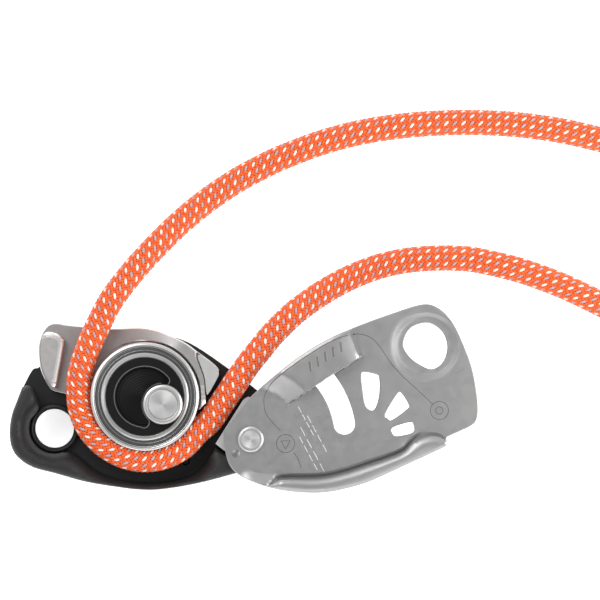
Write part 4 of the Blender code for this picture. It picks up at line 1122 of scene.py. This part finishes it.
def add_side_plate():
    loops = [smooth_loop(SIDE_OUTLINE, SIDE_CORNERS), slot_outline(),
             smooth_loop(OPEN_HOLE_OUTLINE, steps=8), ring_points(PIVOT, RIVET_R + RUN, 48)]
    loops += [smooth_loop(kite) for kite in KITES]
    outer = loops[0] + loops[0][:1]

    def high(points, reach):
        from_pivot = np.linalg.norm(points - np.array(PIVOT), axis=1)
        on_bridge = (bridge_side(points) > 0.0) * ramp(from_pivot, 17.0, 24.0)
        on_bridge = on_bridge * (1.0 - ramp(bridge_end(points), -3.0, 0.0))
        width, depth = LIP
        lip = np.clip(1.0 - to_line(points, outer) / width, 0.0, 1.0) ** 2
        return on_plate(points) - depth * lip * on_bridge

    def low(points, reach):
        return SIDE_PLATE_Z + form_height(points)

    plate = relief("side_plate_sheet", loops, looks("anodised_grey"), PIVOT, low, high, PLATE_MESH, (1.0,),
                   SHEET_ROUND, plate_creases())
    fit(plate, "side_plate", "grey_anodised", "moving_plate")


# ---- fixed side
def shell_top(points, reach):
    """Rounded lip that dips to the hole and slopes down to the rope's channel."""
    to_outer = to_line(points, BODY_LOWER)
    to_inner = to_line(points, smooth_open(LIP_INNER[1:-1]))
    from_hole = np.linalg.norm(points - np.array(FIXED_HOLE), axis=1)
    level = np.full(len(points), SHELL_Z[1])
    level -= (SHELL_Z[1] - BOSS_TOP) * (1.0 - ramp(points[:, 0], *BOSS_X))
    depth, width = CHANNEL_SLOPE
    level -= depth * np.clip(1.0 - to_inner / width, 0.0, 1.0) ** 1.7 * ramp(points[:, 0], *CHANNEL_SLOPE_X)
    depth, width = HOLE_DIP
    level -= depth * np.clip(1.0 - (from_hole - HOLE_RING_R) / width, 0.0, 1.0) ** 1.8
    facet = np.clip((points[:, 0] + 16.0) / 9.0, 0.0, 1.0)
    level -= FACET_DROP * facet * np.clip((points[:, 1] + 24.5) / 6.0, 0.0, 1.0)
    roll = np.clip(SHELL_ROUND - np.minimum(to_outer, reach * 1.6), 0.0, SHELL_ROUND)
    return level - SHELL_ROUND + np.sqrt(np.clip(SHELL_ROUND ** 2 - roll ** 2, 0.0, None))


def add_shell():
    ring = arc(FIXED_HOLE, HOLE_RING_R, 292.0, 158.0, 36)
    outline = smooth_open(BODY_LOWER[:-1]) + smooth_open(SHELL_RIGHT) + smooth_open(LIP_INNER) + ring
    outline += smooth_open(LIP_TOP)
    shell = relief("shell", [outline], looks("black_nylon"), FIXED_HOLE, flat(SHELL_Z[0]), shell_top, 1.15,
                   (0.35, 1.0, 1.9))
    fit(shell, "body", "black_nylon", "channel_shell")
    profile = [(9.05, 15.6), (9.2, 14.8), (HOLE_R, 14.8), (HOLE_R, 16.6), (7.55, 16.9), (7.95, 16.9),
               (8.05, 17.4), (8.4, 17.6), (8.8, 17.5), (9.1, 17.1)]
    hole_ring = turned("hole_ring", profile[::-1], FIXED_HOLE, looks("black_anodised"))
    fit(hole_ring, "body", "black_nylon", "attachment_ring")


def add_fixed_plate():
    outline = smooth_loop(BODY_LOWER + BODY_UPPER)
    holes = [ring_points(FIXED_HOLE, HOLE_R), ring_points(AXLE, 7.0), ring_points(PIVOT, RIVET_R + RUN)]
    holes += [ring_points(p, SMALL_HOLE_R, 24) for p in SCREWS + INSERT_PINS]
    # Its rounded edges take the lighter second colour: a painted highlight.
    plate = prism("rear_plate", [outline] + holes, PLATE_Z, looks("black_anodised", "black_edge_painted_highlight"),
                  FIXED_HOLE, 0.4)
    fit(plate, "body", "black_anodised", "fixed_plate")


def add_wear_insert():
    # Its rounded edges take the edge colour meant as a painted highlight.
    insert = prism("wear_block", [smooth_loop(INSERT, (INSERT[0], INSERT[-1], INSERT[-2]))], SHELL_Z,
                   looks("milled_steel", "chamfer_painted_highlight"), PIVOT, 0.35)
    for spot in INSERT_PINS:
        socket = prism("pin_socket", [ring_points(spot, SMALL_HOLE_R, 24)], (14.0, 18.8),
                       looks("milled_steel"))
        combine(insert, socket)
    fit(insert, "body", "bright_steel", "wear_insert")


def add_back_cover():
    cover = prism("cover", [smooth_loop(COVER_OUTLINE)], COVER_Z, looks("black_nylon"), PIVOT, 1.2, 4)
    cutters = [([(0.0, 12.0), (1.6, 12.0), (1.6, 2.4), (3.1, 2.4), (3.1, -1.0), (0.0, -1.0)], SCREWS),
               ([(0.0, 12.0), (5.4, 12.0), (5.4, 8.4), (0.0, 8.4)], [PIVOT]),
               ([(0.0, 12.0), (2.6, 12.0), (2.6, 9.6), (0.0, 9.6)], INSERT_PINS)]
    for profile, spots in cutters:
        for spot in spots:
            combine(cover, turned("pocket", profile, spot, looks("black_nylon"), 40))
    for x in np.arange(-48.0, -4.0, 4.0):
        if min(math.dist((x + 0.7, -24.0), spot) for spot in SCREWS) > 4.6:
            groove = stadium((x, -27.2), (x + 1.5, -19.8), 0.75, 0.74, 8)
            combine(cover, prism("rib_gap", [groove], (-1.0, 0.8), looks("black_nylon")))
    dress(cover, looks("black_nylon"), 35)
    fit(cover, "body", "black_nylon", "back_cover")


def add_pivot():
    profile = [(0.0, 34.85), (3.3, 34.85), (3.5, 34.9), (4.2, 34.88), (4.6, 34.7), (RIVET_HEAD_R, 34.3),
               (RIVET_HEAD_R, 33.5), (RIVET_R, 33.5), (RIVET_R, 11.2), (RIVET_HEAD_R, 11.2),
               (RIVET_HEAD_R, 9.5), (4.4, 8.85), (3.6, 8.7), (0.0, 8.7)]
    ends = {0: 1, 12: 1}
    rivet = turned("pivot_pin", profile, PIVOT, looks("pin_steel", "brushed_head"), face_looks=ends)
    fit(rivet, "body", "bright_steel", "pivot_rivet")


# ---- cam group
def cam_height(points, reach):
    """Low under the rope and the lug, rising round the wheel to the nose."""
    angle = np.degrees(np.arctan2(points[:, 1] - WHEEL[1], points[:, 0] - WHEEL[0]))
    return CAM_Z[1] + (CAM_BLOCK_TOP - CAM_Z[1]) * (1.0 - ramp(angle, *CAM_FALL))


def add_cam():
    seat = [(-14.2, -1.9), (-14.4, 2.0), (-14.9, 7.4), (-16.3, 11.5), (-18.1, 16.6)]
    top = smooth_open(CAM_TOP[3:])
    pocket = arc(WHEEL, POCKET_R, 175.0, -13.8, 80)
    outline = top + [(-62.0, 1.6), (-58.4, 2.0)] + pocket + smooth_open(seat)
    # The second colour, near white, paints a highlight on the rounded edges and on the lug's ridge.
    casting = looks("cast_steel", "cast_edge_painted_highlight")
    block = relief("cam_casting", [outline], casting, AXLE, flat(CAM_Z[0]), cam_height, 1.3, (1.0,), 0.3)
    fit(block, "cam", "cast_steel", "cam_body")
    base = smooth_loop(CAM_TOP, corners=(CAM_TOP[0], CAM_TOP[-1]), steps=3)[:3 * (len(CAM_TOP) - 1) + 1]
    base += arc(WHEEL, 19.0, 196.0, 338.0, 40) + arc(WHEEL, POCKET_R, 346.2, 376.0, 8)
    web = prism("cam_web", [base, ring_points(AXLE, AXLE_BODY_R + GAP)], (CAM_Z[0] + 0.1, CAM_Z[1] - 0.1),
                casting, AXLE, 0.2, 2)
    fit(web, "cam", "cast_steel")
    ridge = smooth_open([(-80.0, 23.4)] + LUG[2:7], 5)

    def lug_top(points, reach):
        near = to_line(points, ridge)
        over = np.clip(LUG_ROUND - near, 0.0, LUG_ROUND)
        rolled = np.sqrt(np.clip(LUG_ROUND ** 2 - over ** 2, 0.0, None))
        return LUG_TOP - LUG_ROUND + rolled - 0.5 * ramp(near, 1.5, 2.2)

    # The faces along the ridge take the near-white colour: a painted highlight.
    lug = relief("cam_lug", [smooth_open(LUG[:7], 5) + smooth_open(LUG[7:], 3)],
                 looks("lug_steel", "cast_edge_painted_highlight", "cast_edge_painted_highlight"), CRANK, flat(CAM_Z[0] + 1.0), lug_top, 1.0,
                 (0.2, 0.7, 1.5, 2.2), painted_light_faces=lambda points: to_line(points, ridge) < 1.6)
    fit(lug, "cam", "cast_steel")
    # Its rounded edges take the edge colour meant as a painted highlight.
    pad = prism("nose_pad", [smooth_loop(NOSE_PAD, steps=5)], (CAM_Z[1] + GAP, 28.4),
                looks("milled_steel", "chamfer_painted_highlight"), AXLE, 0.45)
    fit(pad, "cam", "bright_steel", "cam_nose_pad")


def add_axle():
    profile = [(0.0, 35.75), (5.2, 35.75), (5.45, 35.7), (5.55, 35.3), (5.75, 35.3), (5.85, 35.95),
               (6.0, 36.0), (6.75, 36.0), (7.25, 35.75), (AXLE_HEAD_R, 35.3), (AXLE_HEAD_R, 33.6),
               (NECK_R, 33.6), (NECK_R, 18.4), (AXLE_BODY_R, 18.4), (AXLE_BODY_R, 11.5), (3.6, 11.5),
               (3.6, 5.9), (3.0, 5.9), (3.0, 5.3), (3.6, 5.3), (3.3, 4.6), (0.0, 4.6)]
    axle = turned("axle", profile, AXLE, looks("axle_steel", "brushed_head"), 112, {0: 1})
    fit(axle, "cam", "bright_steel", "cam_axle")


def crescent(grow=0.0):
    """Recess between two arcs, its two tips rounded."""
    outer = arc(WHEEL, 11.1 + grow, 37.0, 262.0, 60)
    inner = arc(AXLE, 8.3 - grow, 221.0, 96.0, 30)
    tips = []
    for a, b in ((outer[-1], inner[0]), (inner[-1], outer[0])):
        middle = ((a[0] + b[0]) / 2, (a[1] + b[1]) / 2)
        start = math.degrees(math.atan2(a[1] - middle[1], a[0] - middle[0]))
        turn = (math.degrees(math.atan2(b[1] - middle[1], b[0] - middle[0])) - start) % 360.0
        tips.append(arc(middle, math.dist(a, middle), start, start + turn, 12)[1:-1])
    return outer + tips[0] + inner + tips[1]


def add_hub():
    profile = [(0.0, 29.3), (14.2, 29.3), (14.5, 29.15), (14.6, 28.9), (14.6, 28.3), (12.3, 28.3),
               (12.3, 18.9), (0.0, 18.9)]
    # The second colour paints a highlight on the rounded edges, the third paints shade on the recess floor.
    hub_looks = looks("black_machined", "hub_edge_painted_highlight", "recess_floor_painted_shade")
    hub = turned("hub", profile, WHEEL, hub_looks, 112)
    combine(hub, prism("bore", [ring_points(AXLE, NECK_R + GAP)], (10.0, 40.0), hub_looks[:1]))
    combine(hub, prism("recess", [crescent()], (RECESS_Z, 33.0), hub_looks[:1]))
    dress(hub, hub_looks, 25)
    soften(hub, 0.28, 2, 50)
    # The recess floor takes the blacker third colour: painted shade.
    for face in hub.data.polygons:
        if abs(face.center.z - RECESS_Z * MM) < 0.05 * MM and face.normal.z > 0.9:
            face.material_index = 2
    fit(hub, "cam", "black_anodised", "wheel_hub")
    # Lighter ring just outside the recess: a painted highlight on its edge.
    line = prism("recess_rim_painted_highlight", [crescent(0.5), crescent(0.25)], (29.2, 29.34), looks("hub_edge_painted_highlight"))
    fit(line, "cam", "black_anodised")


def add_wheel():
    profile = [(14.75, 29.3), (14.9, 29.55), (15.1, 29.6), (15.3, 29.55), (15.6, 29.2), (16.1, 28.75),
               (16.45, 28.55), (16.5, 28.2), (15.0, 28.2), (15.0, 18.7), (12.6, 18.7), (12.6, 28.0),
               (14.75, 28.0)]
    race = turned("race", profile, WHEEL, looks("race_steel"), 128)
    fit(race, "cam", "bright_steel", "bearing_inner_race")
    (r0, r1), (z0, z1) = SEAL_R, SEAL_Z
    groove = [(r0 + (r1 - r0) * t, z0 + (z1 - z0) * t - SEAL_DEPTH * math.sin(math.pi * t) ** 0.8)
              for t in np.linspace(0.0, 1.0, 13)]
    seal = turned("seal", groove[::-1] + [(r0, 26.9), (r1, 26.9)], WHEEL, looks("seal_steel"), 128)
    fit(seal, "wheel", "black_rubber", "bearing_seal")
    groove_r = ROPE_R + 0.4
    centre_r = GROOVE_ROOT_R + groove_r
    half = math.degrees(math.acos((centre_r - WHEEL_R) / groove_r))
    root = [polar((centre_r, ROPE_Z), -groove_r, -a) for a in np.linspace(half, -half, 19)]
    profile = ([(18.6, 29.1), (18.7, 29.4), (18.95, 29.45), (19.0, 29.15), (19.15, 29.15), (19.2, 29.5),
                (19.45, 29.6), (19.95, 29.5), (20.25, 29.3), (WHEEL_R, 29.0)] + root
               + [(WHEEL_R, 18.8), (20.1, 18.5), (17.4, 18.5), (17.2, 18.7), (17.2, 26.6), (18.6, 26.6)])
    # The small groove near the rim's top takes a dark grey: painted shade.
    rim = turned("rim", profile, WHEEL, looks("rim_steel", "rim_groove_painted_shade"), 160, {2: 1, 3: 1, 4: 1})
    fit(rim, "wheel", "bright_steel", "wheel_rim")


# ---- handle group
def add_handle():
    tip = polar(CRANK, HANDLE_LENGTH, HANDLE_ANGLE)
    tang_end = polar(CRANK, HANDLE_LENGTH - 9.0, HANDLE_ANGLE)
    start = polar(CRANK, 14.0, HANDLE_ANGLE)
    # The second colour goes on the rounded edges of the crank and lever, meant as a painted highlight.
    forged = looks("spring_steel", "chamfer_painted_highlight")
    arm = prism("crank_arm", [stadium(AXLE, CRANK, 7.6, 5.6), ring_points(AXLE, 3.9, 48),
                              ring_points(CRANK, 2.1, 32)], CRANK_Z, forged, AXLE, 0.25, 2)
    hub = turned("crank_hub", [(5.3, 11.2), (5.3, 8.0), (3.9, 8.0), (3.9, 11.2)], AXLE, forged[:1], 64)
    combine(arm, hub, "UNION")
    fit(arm, "cam", "spring_steel", "handle_crank")
    lever = prism("lever", [stadium(CRANK, tang_end, 4.8, 3.0), ring_points(CRANK, 2.1, 32)], LEVER_Z,
                  forged, CRANK, 0.35)
    fit(lever, "handle", "spring_steel", "handle_lever")
    grip = prism("grip", [stadium(start, tip, 5.2, 4.7)], (0.0, 6.4), looks("black_nylon"), CRANK, 1.5, 5)
    cutters = [("tang_pocket", stadium(CRANK, tang_end, 5.1, 3.3), (LEVER_Z[0] - GAP, LEVER_Z[1] + GAP)),
               ("notch", stadium(CRANK, polar(CRANK, 8.0, HANDLE_ANGLE), 6.6, 6.5), (-1.0, 9.0))]
    across = HANDLE_ANGLE + 90.0
    for k in range(6):
        spot = polar(CRANK, 20.0 + 3.2 * k, HANDLE_ANGLE)
        groove = stadium(polar(spot, 3.0, across), polar(spot, -3.0, across), 0.61, 0.6, 8)
        cutters.append(("grip_groove", groove, (-1.0, 0.6)))
    for name, outline, levels in cutters:
        combine(grip, prism(name, [outline], levels, looks("black_nylon")))
    dress(grip, looks("black_nylon"), 35)
    fit(grip, "handle", "black_nylon", "handle_grip")


def polish_cad():
    """Looks of the small CAD parts whose shape is already right."""
    parts = {"fastener_steel": ("insert_pin_1", "insert_pin_2", "axle_bush", "pivot_spacer", "pivot_washer",
                                "bearing_balls", "crank_washer", "handle_rivet"),
             "black_oxide": ("cover_screw_1", "cover_screw_2", "cover_screw_3"),
             "spring_steel": ("cam_return_spring", "axle_clip", "handle_spring")}
    for kind, names in parts.items():
        for name in names:
            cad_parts[name].material_slots[0].material = look(kind)


add_camera()
add_stage()
add_world()
add_rope()
add_side_plate()
add_rope_line()
add_strokes()
add_dimple()
add_bridge_bars()
add_shell()
add_fixed_plate()
add_wear_insert()
add_back_cover()
add_pivot()
add_cam()
add_axle()
add_hub()
add_wheel()
add_handle()
polish_cad()
bpy.context.scene.view_settings.view_transform = "Standard"
